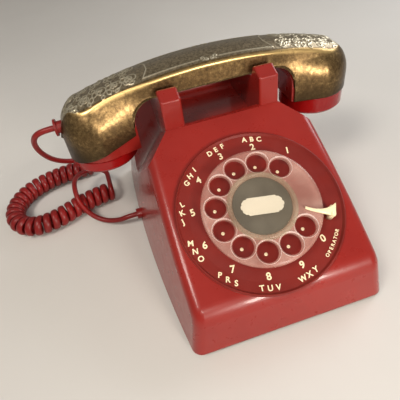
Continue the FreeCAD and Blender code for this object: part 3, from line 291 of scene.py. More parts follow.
class Surface:
    def __init__(self, name):
        self.material = bpy.data.materials.new(name)
        self.material.use_nodes = True
        self.tree = self.material.node_tree
        self.shader = self.tree.nodes["Principled BSDF"]
        self.output = self.tree.nodes["Material Output"]
        self.place = self.tree.nodes.new("ShaderNodeTexCoord")

    def node(self, kind, **values):
        made = self.tree.nodes.new(kind)
        for key, value in values.items():
            made.inputs[key.replace("_", " ")].default_value = value
        return made

    def link(self, a, b):
        self.tree.links.new(a, b)

    def noise(self, scale, detail=4.0, rough=0.55):
        made = self.node("ShaderNodeTexNoise", Scale=scale, Detail=detail, Roughness=rough)
        self.link(self.place.outputs["Object"], made.inputs["Vector"])
        return made.outputs["Fac"]

    def ramp(self, value, stops):
        made = self.tree.nodes.new("ShaderNodeValToRGB")
        ramp = made.color_ramp
        while len(ramp.elements) < len(stops):
            ramp.elements.new(0.5)
        for element, (at, colour) in zip(ramp.elements, stops):
            element.position = at
            element.color = colour
        self.link(value, made.inputs["Fac"])
        return made.outputs["Color"]

    def range(self, value, low, high, a=0.3, b=0.7):
        made = self.tree.nodes.new("ShaderNodeMapRange")
        made.inputs["From Min"].default_value = a
        made.inputs["From Max"].default_value = b
        made.inputs["To Min"].default_value = low
        made.inputs["To Max"].default_value = high
        self.link(value, made.inputs["Value"])
        return made.outputs["Result"]

    def mix(self, factor, a, b):
        made = self.tree.nodes.new("ShaderNodeMix")
        made.data_type = "RGBA"
        if hasattr(factor, "links"):
            self.link(factor, made.inputs["Factor"])
        else:
            made.inputs["Factor"].default_value = factor
        for value, socket in ((a, made.inputs[6]), (b, made.inputs[7])):
            if hasattr(value, "links"):
                self.link(value, socket)
            else:
                socket.default_value = value
        return made.outputs[2]

    def bump(self, value, distance, strength=1.0):
        made = self.node("ShaderNodeBump", Strength=strength, Distance=distance)
        self.link(value, made.inputs["Height"])
        self.link(made.outputs["Normal"], self.shader.inputs["Normal"])
        return made

    def set(self, **values):
        for key, value in values.items():
            socket = self.shader.inputs[key.replace("_", " ")]
            if hasattr(value, "links"):
                self.link(value, socket)
            else:
                socket.default_value = value


def moulded(name, light, dark, low_rough, high_rough, coat, grain):
    s = Surface(name)
    s.set(Base_Color=s.ramp(s.noise(26, 3), [(0.3, linear(*dark)), (0.7, linear(*light))]))
    s.set(Roughness=s.range(s.noise(140, 5), low_rough, high_rough))
    s.set(Coat_Weight=coat, Coat_Roughness=0.07, Coat_IOR=1.38, IOR=1.38)
    s.bump(s.noise(320, 2), grain, 0.6)
    return s.material


def clear(name, tint, haze_light, haze_dark, haze, rough):
    s = Surface(name)
    s.set(Base_Color=s.ramp(s.noise(60, 3), [(0.3, linear(*haze_dark)), (0.7, linear(*haze_light))]))
    s.set(Roughness=s.range(s.noise(300, 4), rough, rough + 0.15), IOR=1.49)
    through = s.node("ShaderNodeBsdfTransparent", Color=tint)
    blend = s.tree.nodes.new("ShaderNodeMixShader")
    s.link(s.range(s.noise(32, 4), haze * 0.7, haze * 1.3, 0.38, 0.62), blend.inputs["Fac"])
    s.link(through.outputs["BSDF"], blend.inputs[1])
    s.link(s.shader.outputs["BSDF"], blend.inputs[2])
    s.link(blend.outputs["Shader"], s.output.inputs["Surface"])
    return s.material


def metal(name, light, dark, low_rough, high_rough):
    s = Surface(name)
    s.set(Base_Color=s.ramp(s.noise(120, 4), [(0.3, linear(*dark)), (0.7, linear(*light))]))
    s.set(Metallic=1.0, Roughness=s.range(s.noise(500, 4), low_rough, high_rough))
    s.bump(s.noise(1500, 2), 0.00002, 0.5)
    return s.material


def antique_brass():
    s = Surface("antique_brass")
    marks = {}
    for name in ("relief", "panel", "wear_and_highlight", "edge_darkening"):
        marks[name] = s.tree.nodes.new("ShaderNodeAttribute")
        marks[name].attribute_name = name
    mottle = s.ramp(s.noise(420, 8, 0.74), [
        (0.34, linear(84, 66, 42)), (0.47, linear(116, 93, 60)), (0.58, linear(142, 116, 76)),
        (0.72, linear(196, 167, 115)),
    ])
    stain = s.range(s.noise(48, 5, 0.65), 0.0, 0.6, 0.44, 0.64)
    flank = s.mix(stain, mottle, linear(76, 57, 34))
    pewter = s.ramp(s.noise(520, 6, 0.7), [(0.35, linear(100, 89, 71)), (0.65, linear(164, 149, 122))])
    # darker brown towards the cover's lower rim and towards its ends
    flank = s.mix(marks["edge_darkening"].outputs["Fac"], flank, linear(58, 46, 29))
    base = s.mix(marks["panel"].outputs["Fac"], flank, pewter)
    raised = s.mix(marks["relief"].outputs["Fac"], base, linear(222, 212, 186))
    # bright brass along the ridge: wear together with a painted highlight
    worn_and_highlit = s.mix(marks["wear_and_highlight"].outputs["Fac"], raised, linear(220, 186, 124))
    s.set(Base_Color=worn_and_highlit, Metallic=0.85)
    s.set(Roughness=s.range(s.noise(380, 6, 0.7), 0.26, 0.42))
    s.bump(s.noise(1300, 5, 0.7), 0.00007, 0.6)
    return s.material


def make_materials():
    made = {"cover_brass": antique_brass()}
    for kind, looks in ((moulded, PLASTICS), (clear, CLEARS), (metal, METALS)):
        for name, look in looks.items():
            made[name] = kind(name, *look)
    return made


def paint(obj, material):
    obj.data.materials.clear()
    obj.data.materials.append(material)


def paint_nodes(materials):
    slots = {entry["node"]: entry["material_slot"] for entry in frame["record"]["subparts"]}
    for name, obj in frame["nodes"].items():
        paint(obj, materials[slots[name]])
    paint(frame["nodes"]["card_retainer"], materials["clear_ring"])


# Mesh helpers

def add_mesh(name, vertices, faces, material, smooth=True):
    mesh = bpy.data.meshes.new(name)
    mesh.from_pydata([tuple(v) for v in vertices], [], faces)
    mesh.update()
    if smooth:
        mesh.polygons.foreach_set("use_smooth", [True] * len(mesh.polygons))
    obj = bpy.data.objects.new(name, mesh)
    bpy.context.scene.collection.objects.link(obj)
    paint(obj, material)
    return obj


def dial_point(x, y, w):
    c, s = math.cos(DIAL_SLOPE), math.sin(DIAL_SLOPE)
    return (DIAL_CENTRE + Vector((x, y * c - w * s, y * s + w * c))) * MM


def dial_matrix(x, y, w, turn):
    place = Matrix.Translation(dial_point(x, y, w))
    return place @ Matrix.Rotation(DIAL_SLOPE, 4, "X") @ Matrix.Rotation(turn, 4, "Z") @ Matrix.Scale(MM, 4)


def polar(radius, degrees):
    a = math.radians(degrees)
    return radius * math.cos(a), radius * math.sin(a)


# Dial lettering

def dish_w(radius):
    t = (radius - DISH_FLAT_RADIUS) / (DISH_EDGE_RADIUS - DISH_FLAT_RADIUS)
    return DISH_W + max(t, 0.0) * (DISH_EDGE_W - DISH_W)


def glyph_mesh(text, size, weight):
    curve = bpy.data.curves.new("glyph", "FONT")
    curve.body = text
    curve.size = size
    curve.align_x = "CENTER"
    curve.align_y = "CENTER"
    curve.extrude = GLYPH_THICK
    curve.offset = weight
    curve.resolution_u = 6
    holder = bpy.data.objects.new("glyph", curve)
    bpy.context.scene.collection.objects.link(holder)
    bpy.context.view_layer.update()
    mesh = bpy.data.meshes.new_from_object(holder.evaluated_get(bpy.context.evaluated_depsgraph_get()))
    bpy.data.objects.remove(holder)
    bpy.data.curves.remove(curve)
    return mesh


def lettering_plan():
    for i, letters in enumerate(LETTER_GROUPS):
        angle = HOLE_FIRST_DEG + HOLE_STEP_DEG * i
        upper = angle < 180
        lean = LETTER_LEAN * math.sin(math.radians(2 * (angle - 90)))
        lift = DIGIT_LIFT * max(math.sin(math.radians(angle)), 0.0)
        radius = DIGIT_RADIUS + lift if letters else ONE_RADIUS
        yield str((i + 1) % 10), radius, angle, lean * DIGIT_LEAN_SHARE, DIGIT_SIZE, DIGIT_WEIGHT
        step = LETTER_STEP_DEG + SIDE_STEP_DEG * abs(math.cos(math.radians(angle)))
        size, weight = LETTER_SIZE, LETTER_WEIGHT
        if letters == "OPERATOR":
            step = OPERATOR_STEP_DEG
            size, weight = OPERATOR_SIZE, OPERATOR_WEIGHT
            lean = angle - 270
        for k, letter in enumerate(letters):
            along = (k - (len(letters) - 1) / 2) * step
            at = angle - along if upper else angle + along
            yield letter, LETTER_RADIUS, at, lean, size, weight


def make_lettering(material):
    gathered = bmesh.new()
    for text, radius, angle, lean, size, weight in lettering_plan():
        mesh = glyph_mesh(text, size, weight)
        x, y = polar(radius, angle)
        mesh.transform(dial_matrix(x, y, dish_w(radius) + GLYPH_RISE, math.radians(lean)))
        gathered.from_mesh(mesh)
        bpy.data.meshes.remove(mesh)
    mesh = bpy.data.meshes.new("dial_characters")
    gathered.to_mesh(mesh)
    gathered.free()
    obj = bpy.data.objects.new("dial_characters", mesh)
    bpy.context.scene.collection.objects.link(obj)
    paint(obj, material)
    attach(obj, "base")


# Aiming dots under the finger holes

def dot(points, faces, cx, cy):
    first = len(points)
    for radius, w in ((DOT_RADIUS, DISH_W - DOT_SINK), (DOT_RADIUS * DOT_TAPER, DISH_W + DOT_RISE)):
        for k in range(DOT_SIDES):
            x, y = polar(radius, 360 * k / DOT_SIDES)
            points.append(dial_point(cx + x, cy + y, w))
    top = first + DOT_SIDES
    for k in range(DOT_SIDES):
        n = (k + 1) % DOT_SIDES
        faces.append((first + k, first + n, top + n, top + k))
    faces.append([top + k for k in range(DOT_SIDES)])


def make_hole_dots(material):
    points = []
    faces = []
    for i in range(HOLE_COUNT):
        dot(points, faces, *polar(HOLE_CIRCLE, HOLE_FIRST_DEG + HOLE_STEP_DEG * i))
    obj = add_mesh("aiming_dots", points, faces, material)
    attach(obj, "base")


# Painted highlights on the finger hole rims: whitish hazy rings, thicker where the light catches them

def rim(points, faces, cx, cy):
    first = len(points)
    for k in range(RIM_STEPS):
        degrees = 360 * k / RIM_STEPS
        gain = RIM_GAIN * max(math.cos(math.radians(degrees - RIM_LIT_DEG)), 0.0)
        for m in range(RIM_SIDES):
            r, w = polar(RIM_THIN + gain, 360 * m / RIM_SIDES)
            x, y = polar(HOLE_RADIUS + HOLE_BEVEL + RIM_GAP - gain + r, degrees)
            points.append(dial_point(cx + x, cy + y, w - RIM_SINK))
    for k in range(RIM_STEPS):
        here = first + k * RIM_SIDES
        ahead = first + (k + 1) % RIM_STEPS * RIM_SIDES
        for m in range(RIM_SIDES):
            n = (m + 1) % RIM_SIDES
            faces.append((here + m, ahead + m, ahead + n, here + n))


def make_hole_rim_highlights(material):
    points = []
    faces = []
    for i in range(HOLE_COUNT):
        rim(points, faces, *polar(HOLE_CIRCLE, HOLE_FIRST_DEG + HOLE_STEP_DEG * i))
    obj = add_mesh("finger_hole_rim_highlights", points, faces, material)
    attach(obj, "finger_wheel")


# Blank label on the centre card

def make_label(material):
    hx, hy = LABEL_HALF
    cut = LABEL_CUT
    outline = [(-hx, -hy + cut), (-hx + cut, -hy), (hx - cut, -hy), (hx, -hy + cut), (hx, hy - cut),
               (hx - cut, hy), (-hx + cut, hy), (-hx, hy - cut)]
    mesh = bmesh.new()
    c, s = math.cos(LABEL_TURN), math.sin(LABEL_TURN)
    turned = [(x * c - y * s, x * s + y * c) for x, y in outline]
    ring = [mesh.verts.new(dial_point(x, y, CARD_TOP + LABEL_GAP)) for x, y in turned]
    face = mesh.faces.new(ring)
    grown = bmesh.ops.extrude_face_region(mesh, geom=[face])
    moved = [v for v in grown["geom"] if isinstance(v, bmesh.types.BMVert)]
    lift = dial_point(0, 0, LABEL_THICK) - dial_point(0, 0, 0)
    bmesh.ops.translate(mesh, verts=moved, vec=lift)
    corners = [e for e in mesh.edges if e.calc_length() < 1.5 * LABEL_THICK * MM]
    bmesh.ops.bevel(mesh, geom=corners, offset=LABEL_ROUND * MM, segments=4, affect="EDGES")
    data = bpy.data.meshes.new("blank_label")
    mesh.to_mesh(data)
    mesh.free()
    obj = bpy.data.objects.new("blank_label", data)
    bpy.context.scene.collection.objects.link(obj)
    paint(obj, material)
    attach(obj, "finger_wheel")


# Finger stop: a bowed hook on a leg

def stop_point(along, across, w):
    c, s = math.cos(STOP_ANGLE), math.sin(STOP_ANGLE)
    return dial_point(along * c - across * s, along * s + across * c, w)


def stop_hook(points, faces):
    for k in range(STOP_STATIONS):
        t = k / (STOP_STATIONS - 1)
        along = STOP_TIP + (STOP_END - STOP_TIP) * t
        spread = STOP_TIP_HALF + STOP_FLARE * t ** 3
        bow = STOP_SWING * t - STOP_BOW * t * (1 - t)
        top = STOP_TOP + STOP_ARCH * math.sin(math.pi * min(t * 1.1, 1.0)) - STOP_DROP * t
        half = (STOP_THICK + STOP_THICKEN * t) / 2
        for m in range(STOP_SIDES):
            y, z = polar(1.0, 360 * m / STOP_SIDES)
            points.append(stop_point(along, bow + spread * y, top - half + half * z + STOP_LEAN * t * y))
    for k in range(STOP_STATIONS - 1):
        a = k * STOP_SIDES
        b = a + STOP_SIDES
        for m in range(STOP_SIDES):
            n = (m + 1) % STOP_SIDES
            faces.append((a + m, a + n, b + n, b + m))
    last = (STOP_STATIONS - 1) * STOP_SIDES
    faces.append([STOP_SIDES - 1 - m for m in range(STOP_SIDES)])
    faces.append([last + m for m in range(STOP_SIDES)])


def stop_leg(points, faces):
    first = len(points)
    root = STOP_END - STOP_LEG_LONG
    for w in (DISH_W, STOP_LEG_MIDDLE, STOP_LEG_TOP):
        half = STOP_LEG_HALF * (1.0 if w < 0 else STOP_LEG_PINCH)
        for along, across in ((root, -half), (STOP_END, -half), (STOP_END, half), (root, half)):
            points.append(stop_point(along, across, w))
    for level in range(2):
        a = first + 4 * level
        for m in range(4):
            n = (m + 1) % 4
            faces.append((a + m, a + n, a + 4 + n, a + 4 + m))
    faces.append([first + 3 - m for m in range(4)])
    faces.append([first + 8 + m for m in range(4)])


def make_finger_stop(material):
    points = []
    faces = []
    stop_hook(points, faces)
    stop_leg(points, faces)
    obj = add_mesh("hooked_finger_stop", points, faces, material)
    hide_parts("finger_stop")
    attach(obj, "base")


# Hazy rim of the card retainer

def make_retainer_rim(material):
    points = []
    faces = []
    for k in range(RETAINER_STEPS):
        for r, w in RETAINER_PROFILE:
            x, y = polar(r, 360 * k / RETAINER_STEPS)
            points.append(dial_point(x, y, w))
    count = len(RETAINER_PROFILE)
    for k in range(RETAINER_STEPS):
        for m in range(count - 1):
            a = k * count + m
            b = (k + 1) % RETAINER_STEPS * count + m
            faces.append((a, b, b + 1, a + 1))
    obj = add_mesh("retainer_rim", points, faces, material)
    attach(obj, "finger_wheel")


# Strokes of the cover's relief, as points on its plan

def spiral(cx, cy, radius, start_deg, hand, turns):
    points = []
    for k in range(SCROLL_POINTS):
        t = k / (SCROLL_POINTS - 1)
        a = math.radians(start_deg) + hand * 2 * math.pi * turns * t
        r = radius * (1 - SCROLL_CLOSE * t)
        points.append((cx + r * math.cos(a), cy + r * math.sin(a)))
    return points


def line(x0, y0, x1, y1):
    count = max(2, round(math.hypot(x1 - x0, y1 - y0) / LINE_SPACING))
    points = []
    for k in range(count):
        t = k / (count - 1)
        points.append((x0 + (x1 - x0) * t, y0 + (y1 - y0) * t))
    return points


def leaf(cx, cy, length, turn_deg):
    c, s = math.cos(math.radians(turn_deg)), math.sin(math.radians(turn_deg))
    points = []
    for side in (-1, 1):
        for k in range(LEAF_POINTS):
            t = k / (LEAF_POINTS - 1)
            u = t * length
            v = side * LEAF_WIDTH * length * math.sin(math.pi * t)
            points.append((cx + u * c - v * s, cy + u * s + v * c))
    return points


def scroll_group(k, side):
    x = PANEL_IN + SCROLL_START + k * SCROLL_STEP
    hand = side * (1 if k % 2 else -1)
    marks = spiral(x, side * SCROLL_SIDE, SCROLL_RADIUS - SCROLL_SHRINK * k, 90 * side + 70 * k, hand, 1.35)
    marks += spiral(x + 5.2, side * 2.6, 2.9, 200 * side - 50 * k, -hand, 1.2)
    for turn, length in LEAF_FAN:
        marks += leaf(x + 2.6, side * 4.2, length, (turn + 18 * k) * side)
    marks += leaf(x + 6.4, side * 8.2, 5.2, (150 - 40 * k) * side)
    marks += leaf(x - 1.5, side * 10.8, 4.0, (10 + 30 * k) * side)
    return marks


def middle_frame():
    end = PANEL_IN - 1
    tip = PANEL_IN - FRAME_POINT
    marks = line(tip, -FRAME_FLAT, tip, FRAME_FLAT)
    for side in (-1, 1):
        marks += line(end, side * LINE_HALF, tip, side * FRAME_FLAT)
        marks += line(7.0, side * LINE_HALF, end, side * LINE_HALF)
        marks += spiral(4.6, side * (LINE_HALF - 0.6), 1.9, 90 * side, side, 1.1)
        marks += spiral(2.0, side * (LINE_HALF + 0.9), 1.2, -90 * side, -side, 1.0)
    return marks


def relief_lines():
    marks = middle_frame()
    for k in range(SCROLL_COUNT):
        for side in (-1, 1):
            marks += scroll_group(k, side)
    return np.array(marks + [(-x, y) for x, y in marks])


# Handset cover: a shell over the handle, made from the handle's own outlines

def half_width(x):
    d = abs(x)
    if d <= NECK_X:
        return HANDLE_HALF
    if d <= CUP_X:
        t = (d - NECK_X) / (CUP_X - NECK_X)
        return HANDLE_HALF + (CUP_RADIUS - HANDLE_HALF) * t
    return math.sqrt(max(CUP_RADIUS ** 2 - (d - CUP_X) ** 2, 0.0))


def ceiling(x):
    d = abs(x)
    turn_x = HALF_LENGTH - END_ROUND
    inner = CROWN_RADIUS - END_ROUND
    crown_centre = CROWN_Z - CROWN_RADIUS
    if d <= turn_x * CROWN_RADIUS / inner:
        return crown_centre + math.sqrt(CROWN_RADIUS ** 2 - d * d)
    turn_z = crown_centre + math.sqrt(inner ** 2 - turn_x ** 2)
    return turn_z + math.sqrt(max(END_ROUND ** 2 - (d - turn_x) ** 2, 0.0))


def flank(x, y):
    d = abs(x)
    knee, tip, edge = HANDLE_HALF, HANDLE_TOP_HALF, HANDLE_HALF
    if d > NECK_X:
        t = min((d - NECK_X) / (CUP_X - NECK_X), 1.0)
        knee += (CUP_KNEE - knee) * t
        tip += (CUP_TIP - tip) * t
        edge += (CUP_RADIUS - edge) * t
    r = abs(y) if d <= CUP_X else math.hypot(d - CUP_X, y)
    if r <= knee:
        return KNEE_Z + (FLANK_TOP - KNEE_Z) * (knee - r) / (knee - tip)
    if edge - knee < 0.01:
        return KNEE_Z
    return SHOULDER_Z + (KNEE_Z - SHOULDER_Z) * math.sqrt(max(edge - r, 0.0) / (edge - knee))


def cover_top(x, y):
    arch = CROWN_Z - CROWN_RADIUS + math.sqrt(CROWN_RADIUS ** 2 - x * x)
    drop = VAULT_RADIUS - math.sqrt(VAULT_RADIUS ** 2 - y * y)
    return min(ceiling(x), arch - drop)


def ridge_y(x):
    low, high = 0.0, half_width(x)
    for _ in range(40):
        middle = (low + high) / 2
        if flank(x, middle) > cover_top(x, middle):
            low = middle
        else:
            high = middle
    return low


def lower_edge(x):
    d = abs(x)
    start = COVER_INNER_X - COVER_SWEEP
    if d <= start:
        return COVER_LOW
    if d < COVER_INNER_X:
        return COVER_LOW - COVER_SWEEP + math.sqrt(COVER_SWEEP ** 2 - (d - start) ** 2)
    side = 1 if x > 0 else -1
    t = (d - COVER_INNER_X) / (HALF_LENGTH - COVER_INNER_X)
    return RIM_INNER[side] + (RIM_OUTER[side] - RIM_INNER[side]) * t


def cover_stations():
    inner = COVER_INNER_X
    side = list(np.linspace(0, inner - 0.05, 150)) + list(np.linspace(inner, CUP_X, 60)[0:-1])
    side += [CUP_X + CUP_RADIUS * math.sin(t) for t in np.linspace(0, math.pi / 2 * 0.985, 64)]
    side = [min(x, HALF_LENGTH) for x in side]
    return [-x for x in reversed(side[1:])] + side


def half_section(x):
    edge = half_width(x)
    ridge = ridge_y(x)
    low = lower_edge(x)
    points = []
    shoulder = max(min(SHOULDER_Z, cover_top(x, edge)), low)
    knee = max(flank(x, edge - 1e-6), shoulder)
    for k in range(SKIRT_ROWS):
        points.append((edge, low + (knee - low) * k / SKIRT_ROWS))
    for k in range(FLANK_ROWS):
        t = k / FLANK_ROWS
        y = edge + (ridge - edge) * t
        points.append((y, max(min(flank(x, y), cover_top(x, y)), low)))
    for k in range(TOP_ROWS + 1):
        y = ridge * (1 - k / TOP_ROWS)
        points.append((y, max(cover_top(x, y), low)))
    return points


def softened(grid, rounds, axis):
    for _ in range(rounds):
        moved = grid.copy()
        if axis == 1:
            moved[:, 1:-1] = (grid[:, :-2] + 2 * grid[:, 1:-1] + grid[:, 2:]) / 4
        else:
            moved[1:-1] = (grid[:-2] + 2 * grid[1:-1] + grid[2:]) / 4
            moved[:, :SKIRT_ROWS, 2] = grid[:, :SKIRT_ROWS, 2]
            moved[:, -SKIRT_ROWS:, 2] = grid[:, -SKIRT_ROWS:, 2]
            moved[:, :, 0] = grid[:, :, 0]
        grid = moved
    return grid


def cover_grid():
    rows = []
    for x in cover_stations():
        half = half_section(x)
        front = [(x, -y, z) for y, z in half]
        back = [(x, y, z) for y, z in reversed(half[:-1])]
        rows.append(front + back)
    return softened(softened(np.array(rows), SOFTEN_ACROSS, 1), SOFTEN_ALONG, 0)


def faded(value):
    return np.clip(value, 0, 1)


def relief_marks(flat, on_top):
    relief = np.zeros(len(flat))
    drawn = relief_lines()
    along = np.abs(flat[:, 0])
    aside = np.abs(flat[:, 1])
    chosen = np.where(on_top & (aside < BAND_HALF + 1) & (along < PANEL_OUT + 4))[0]
    for start in range(0, len(chosen), 2000):
        part = chosen[start:start + 2000]
        gap = np.sqrt(((flat[part, None, :2] - drawn[None, :, :]) ** 2).sum(2)).min(1)
        relief[part] = faded(STROKE_EDGE - gap / STROKE_HALF)
    return relief


def cover_marks(flat, across):
    ridge_row = SKIRT_ROWS + FLANK_ROWS
    on_top = across > ridge_row
    along = np.abs(flat[:, 0])
    # band along the ridge for its wear and its painted highlight, fading out near the ends
    wear_and_highlight = faded(1 - np.abs(across - ridge_row) / WEAR_HIGHLIGHT_ROWS)
    wear_and_highlight *= faded((HALF_LENGTH - WEAR_HIGHLIGHT_END - along) / WEAR_HIGHLIGHT_FADE)
    # darker towards the lower rim past the neck, and towards the ends below the ridge
    edge_darkening = DARKENING_SKIRT * faded(1.2 - across / SKIRT_ROWS) * faded((along - NECK_X) / DARKENING_FADE)
    edge_darkening += DARKENING_END * faded((along - HALF_LENGTH + DARKENING_REACH) / DARKENING_REACH) * (across < ridge_row)
    panel = faded((BAND_HALF + PANEL_FADE - np.abs(flat[:, 1])) / PANEL_FADE) * on_top
    return {"relief": relief_marks(flat, on_top), "panel": panel, "wear_and_highlight": wear_and_highlight, "edge_darkening": faded(edge_darkening)}


def end_faces(first, count, turned):
    faces = []
    for k in range(count // 2):
        n = count - 1 - k
        ring = [first + k, first + k + 1, first + n - 1, first + n]
        if n - 1 == k + 1:
            ring = [first + k, first + k + 1, first + n]
        faces.append(ring[::-1] if turned else ring)
    return faces


def cover_faces(rows, count):
    faces = []
    for i in range(rows - 1):
        for k in range(count - 1):
            a = i * count + k
            faces.append((a, a + count, a + count + 1, a + 1))
    return faces + end_faces(0, count, False) + end_faces((rows - 1) * count, count, True)


def make_cover(material):
    grid = cover_grid()
    rows, count = grid.shape[:2]
    flat = grid.reshape(-1, 3)
    column = np.tile(np.arange(count), rows)
    marks = cover_marks(flat, np.minimum(column, count - 1 - column))
    flat[:, 2] += marks["relief"] * RELIEF_RISE - marks["panel"] * PANEL_SINK
    points = [(x * MM, (y + HANDSET_Y) * MM, z * MM) for x, y, z in flat]
    obj = add_mesh("ornamental_cover", points, cover_faces(rows, count), material)
    for name, values in marks.items():
        layer = obj.data.attributes.new(name, "FLOAT", "POINT")
        layer.data.foreach_set("value", values.astype(np.float32))
    solid = obj.modifiers.new("wall", "SOLIDIFY")
    solid.thickness = COVER_WALL * MM
    solid.offset = -1.0
    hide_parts("handset_cover")
    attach(obj, "handset")


# Curly cord

def spline_points(route, name):
    curve = bpy.data.curves.new(name, "CURVE")
    curve.dimensions = "3D"
    curve.resolution_u = 24
    spline = curve.splines.new("NURBS")
    spline.points.add(len(route) - 1)
    for point, place in zip(spline.points, route):
        point.co = (*(Vector(place) * MM), 1.0)
    spline.order_u = 3
    spline.use_endpoint_u = True
    holder = bpy.data.objects.new(name, curve)
    bpy.context.scene.collection.objects.link(holder)
    bpy.context.view_layer.update()
    mesh = bpy.data.meshes.new_from_object(holder.evaluated_get(bpy.context.evaluated_depsgraph_get()))
    points = [v.co.copy() for v in mesh.vertices]
    bpy.data.objects.remove(holder)
    bpy.data.curves.remove(curve)
    bpy.data.meshes.remove(mesh)
    return points


def measured(points):
    total = [0.0]
    for a, b in zip(points, points[1:]):
        total.append(total[-1] + (b - a).length)
    return total


def at_length(points, total, s):
    k = min(max(np.searchsorted(total, s) - 1, 0), len(points) - 2)
    span = max(total[k + 1] - total[k], 1e-12)
    t = (s - total[k]) / span
    return points[k].lerp(points[k + 1], t), (points[k + 1] - points[k]).normalized()


def smooth_way(points, total, s):
    reach = WAY_REACH * MM
    a, _ = at_length(points, total, max(s - reach, 0.0))
    b, _ = at_length(points, total, min(s + reach, total[-1]))
    return (b - a).normalized()


def helix_points():
    axis = spline_points([(x, y, COIL_HEIGHT) for x, y in COIL_ROUTE], "coil_axis")
    total = measured(axis)
    turns = round(total[-1] / (COIL_PITCH * MM))
    count = turns * CURL_STEPS
    points = []
    ways = []
    for k in range(count + 1):
        s = total[-1] * k / count
        centre, _ = at_length(axis, total, s)
        way = smooth_way(axis, total, s)
        side = way.cross(Vector((0, 0, 1))).normalized()
        a = math.pi / 2 + 2 * math.pi * k / CURL_STEPS
        points.append(centre + (side * math.cos(a) + Vector((0, 0, math.sin(a)))) * COIL_RADIUS * MM)
        ways.append(way)
    return points, ways


def strand_sizes(points):
    sizes = []
    last = len(points) - 1
    for k, p in enumerate(points):
        turn_gap = min((p - points[n]).length for n in (k - CURL_STEPS, k + CURL_STEPS) if 0 <= n <= last)
        wide = min(STRAND_WIDE * MM, turn_gap * STRAND_SHARE)
        ease = min(k, last - k, CURL_STEPS) / CURL_STEPS
        plain = CORD_RADIUS * MM * (1 - ease)
        sizes.append((plain + wide * ease, plain + STRAND_THIN * MM * ease))
    return sizes


def tube_mesh(points, flats):
    vertices = []
    faces = []
    way = (points[1] - points[0]).normalized()
    normal = way.orthogonal().normalized()
    for i, p in enumerate(points):
        ahead = points[min(i + 1, len(points) - 1)] - points[max(i - 1, 0)]
        new_way = ahead.normalized()
        normal = way.rotation_difference(new_way) @ normal
        normal = (normal - new_way * normal.dot(new_way)).normalized()
        way = new_way
        other = way.cross(normal)
        for k in range(TUBE_SIDES):
            a = 2 * math.pi * k / TUBE_SIDES
            spoke = normal * math.cos(a) + other * math.sin(a)
            radius = CORD_RADIUS * MM
            if flats[i]:
                along, wide, thin = flats[i]
                share = min(abs(spoke.dot(along)), 1.0)
                radius = 1 / math.sqrt((share / wide) ** 2 + (1 - share ** 2) / thin ** 2)
            vertices.append(p + spoke * radius)
    for i in range(len(points) - 1):
        for k in range(TUBE_SIDES):
            n = (k + 1) % TUBE_SIDES
            a = i * TUBE_SIDES
            b = a + TUBE_SIDES
            faces.append((a + k, a + n, b + n, b + k))
    faces.append([k for k in reversed(range(TUBE_SIDES))])
    last = (len(points) - 1) * TUBE_SIDES
    faces.append([last + k for k in range(TUBE_SIDES)])
    return vertices, faces


def make_cord(material):
    helix, ways = helix_points()
    first_way = (helix[0] - helix[1]).normalized()
    last_way = (helix[-1] - helix[-2]).normalized()
    first_way.z = 0
    last_way.z = 0
    near = helix[0] / MM
    far = helix[-1] / MM
    base_lead = near + first_way * (TAIL_LEAD + LEAD_EXTRA)
    handset_lead = far + last_way * (HANDSET_TAIL_LEAD + LEAD_EXTRA)
    base_route = [Vector(p) for p in BASE_TAIL_ROUTE] + [base_lead, near]
    handset_route = [Vector(p) for p in HANDSET_TAIL_ROUTE] + [handset_lead, far]
    base_tail = spline_points(base_route, "base_tail")
    handset_tail = spline_points(handset_route, "handset_tail")
    flats = [(way, *size) for way, size in zip(ways, strand_sizes(helix))]
    path = base_tail[:-1] + helix[1:-1] + list(reversed(handset_tail))
    flats = [None] * (len(base_tail) - 1) + flats[1:-1] + [None] * len(handset_tail)
    vertices, faces = tube_mesh(path, flats)
    obj = add_mesh("curly_cord", vertices, faces, material)
    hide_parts("handset_cord_coil", "cord_base_tail", "cord_handset_tail")
    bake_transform(obj)


# Stage: floor, lamps and camera

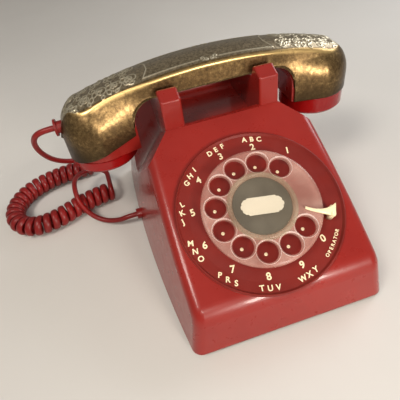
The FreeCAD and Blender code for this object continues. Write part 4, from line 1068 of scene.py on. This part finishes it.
def make_floor():
    s = Surface("pale_floor")
    s.set(Base_Color=s.ramp(s.noise(3, 3), [(0.3, FLOOR_DARK), (0.7, FLOOR_LIGHT)]))
    s.set(Roughness=0.75)
    half = FLOOR_HALF
    corners = [(-half, -half, 0), (half, -half, 0), (half, half, 0), (-half, half, 0)]
    floor = add_mesh("floor", corners, [(0, 1, 2, 3)], s.material, False)


def add_area(name, place, size, power, colour, spread):
    data = bpy.data.lights.new(name, "AREA")
    data.spread = math.radians(spread)
    data.size = size
    data.energy = power
    data.color = colour
    lamp = bpy.data.objects.new(name, data)
    lamp.location = place
    lamp.rotation_euler = (Vector(LAMP_TARGET) - Vector(place)).to_track_quat("-Z", "Y").to_euler()
    bpy.context.scene.collection.objects.link(lamp)


def make_lights():
    for name, settings in LAMPS.items():
        add_area(name, *settings)
    world = bpy.data.worlds.new("room")
    world.use_nodes = True
    background = world.node_tree.nodes["Background"]
    background.inputs["Color"].default_value = ROOM_COLOUR
    background.inputs["Strength"].default_value = ROOM_STRENGTH
    bpy.context.scene.world = world


def make_camera():
    data = bpy.data.cameras.new("camera")
    data.lens = CAMERA_LENS
    data.sensor_width = CAMERA_SENSOR
    data.clip_start = CAMERA_NEAR * MM
    camera = bpy.data.objects.new("camera", data)
    forward = CAMERA_FORWARD.normalized()
    right = (CAMERA_RIGHT - forward * CAMERA_RIGHT.dot(forward)).normalized()
    up = right.cross(forward)
    turn = Matrix((right, up, -forward)).transposed().to_4x4()
    camera.matrix_world = Matrix.Translation(CAMERA_PLACE) @ turn
    bpy.context.scene.collection.objects.link(camera)
    bpy.context.scene.camera = camera


make_camera()
make_floor()
make_lights()
surfaces = make_materials()
paint_nodes(surfaces)
make_lettering(surfaces["cream"])
make_hole_dots(surfaces["cream"])
# whitish rings on the hole rims are painted highlights
make_hole_rim_highlights(surfaces["clear_edge"])
make_label(surfaces["label_paper"])
make_finger_stop(surfaces["cream"])
make_retainer_rim(surfaces["clear_aged"])
make_cover(surfaces["cover_brass"])
make_cord(surfaces["cord_red"])
bpy.context.scene.view_settings.view_transform = "Standard"
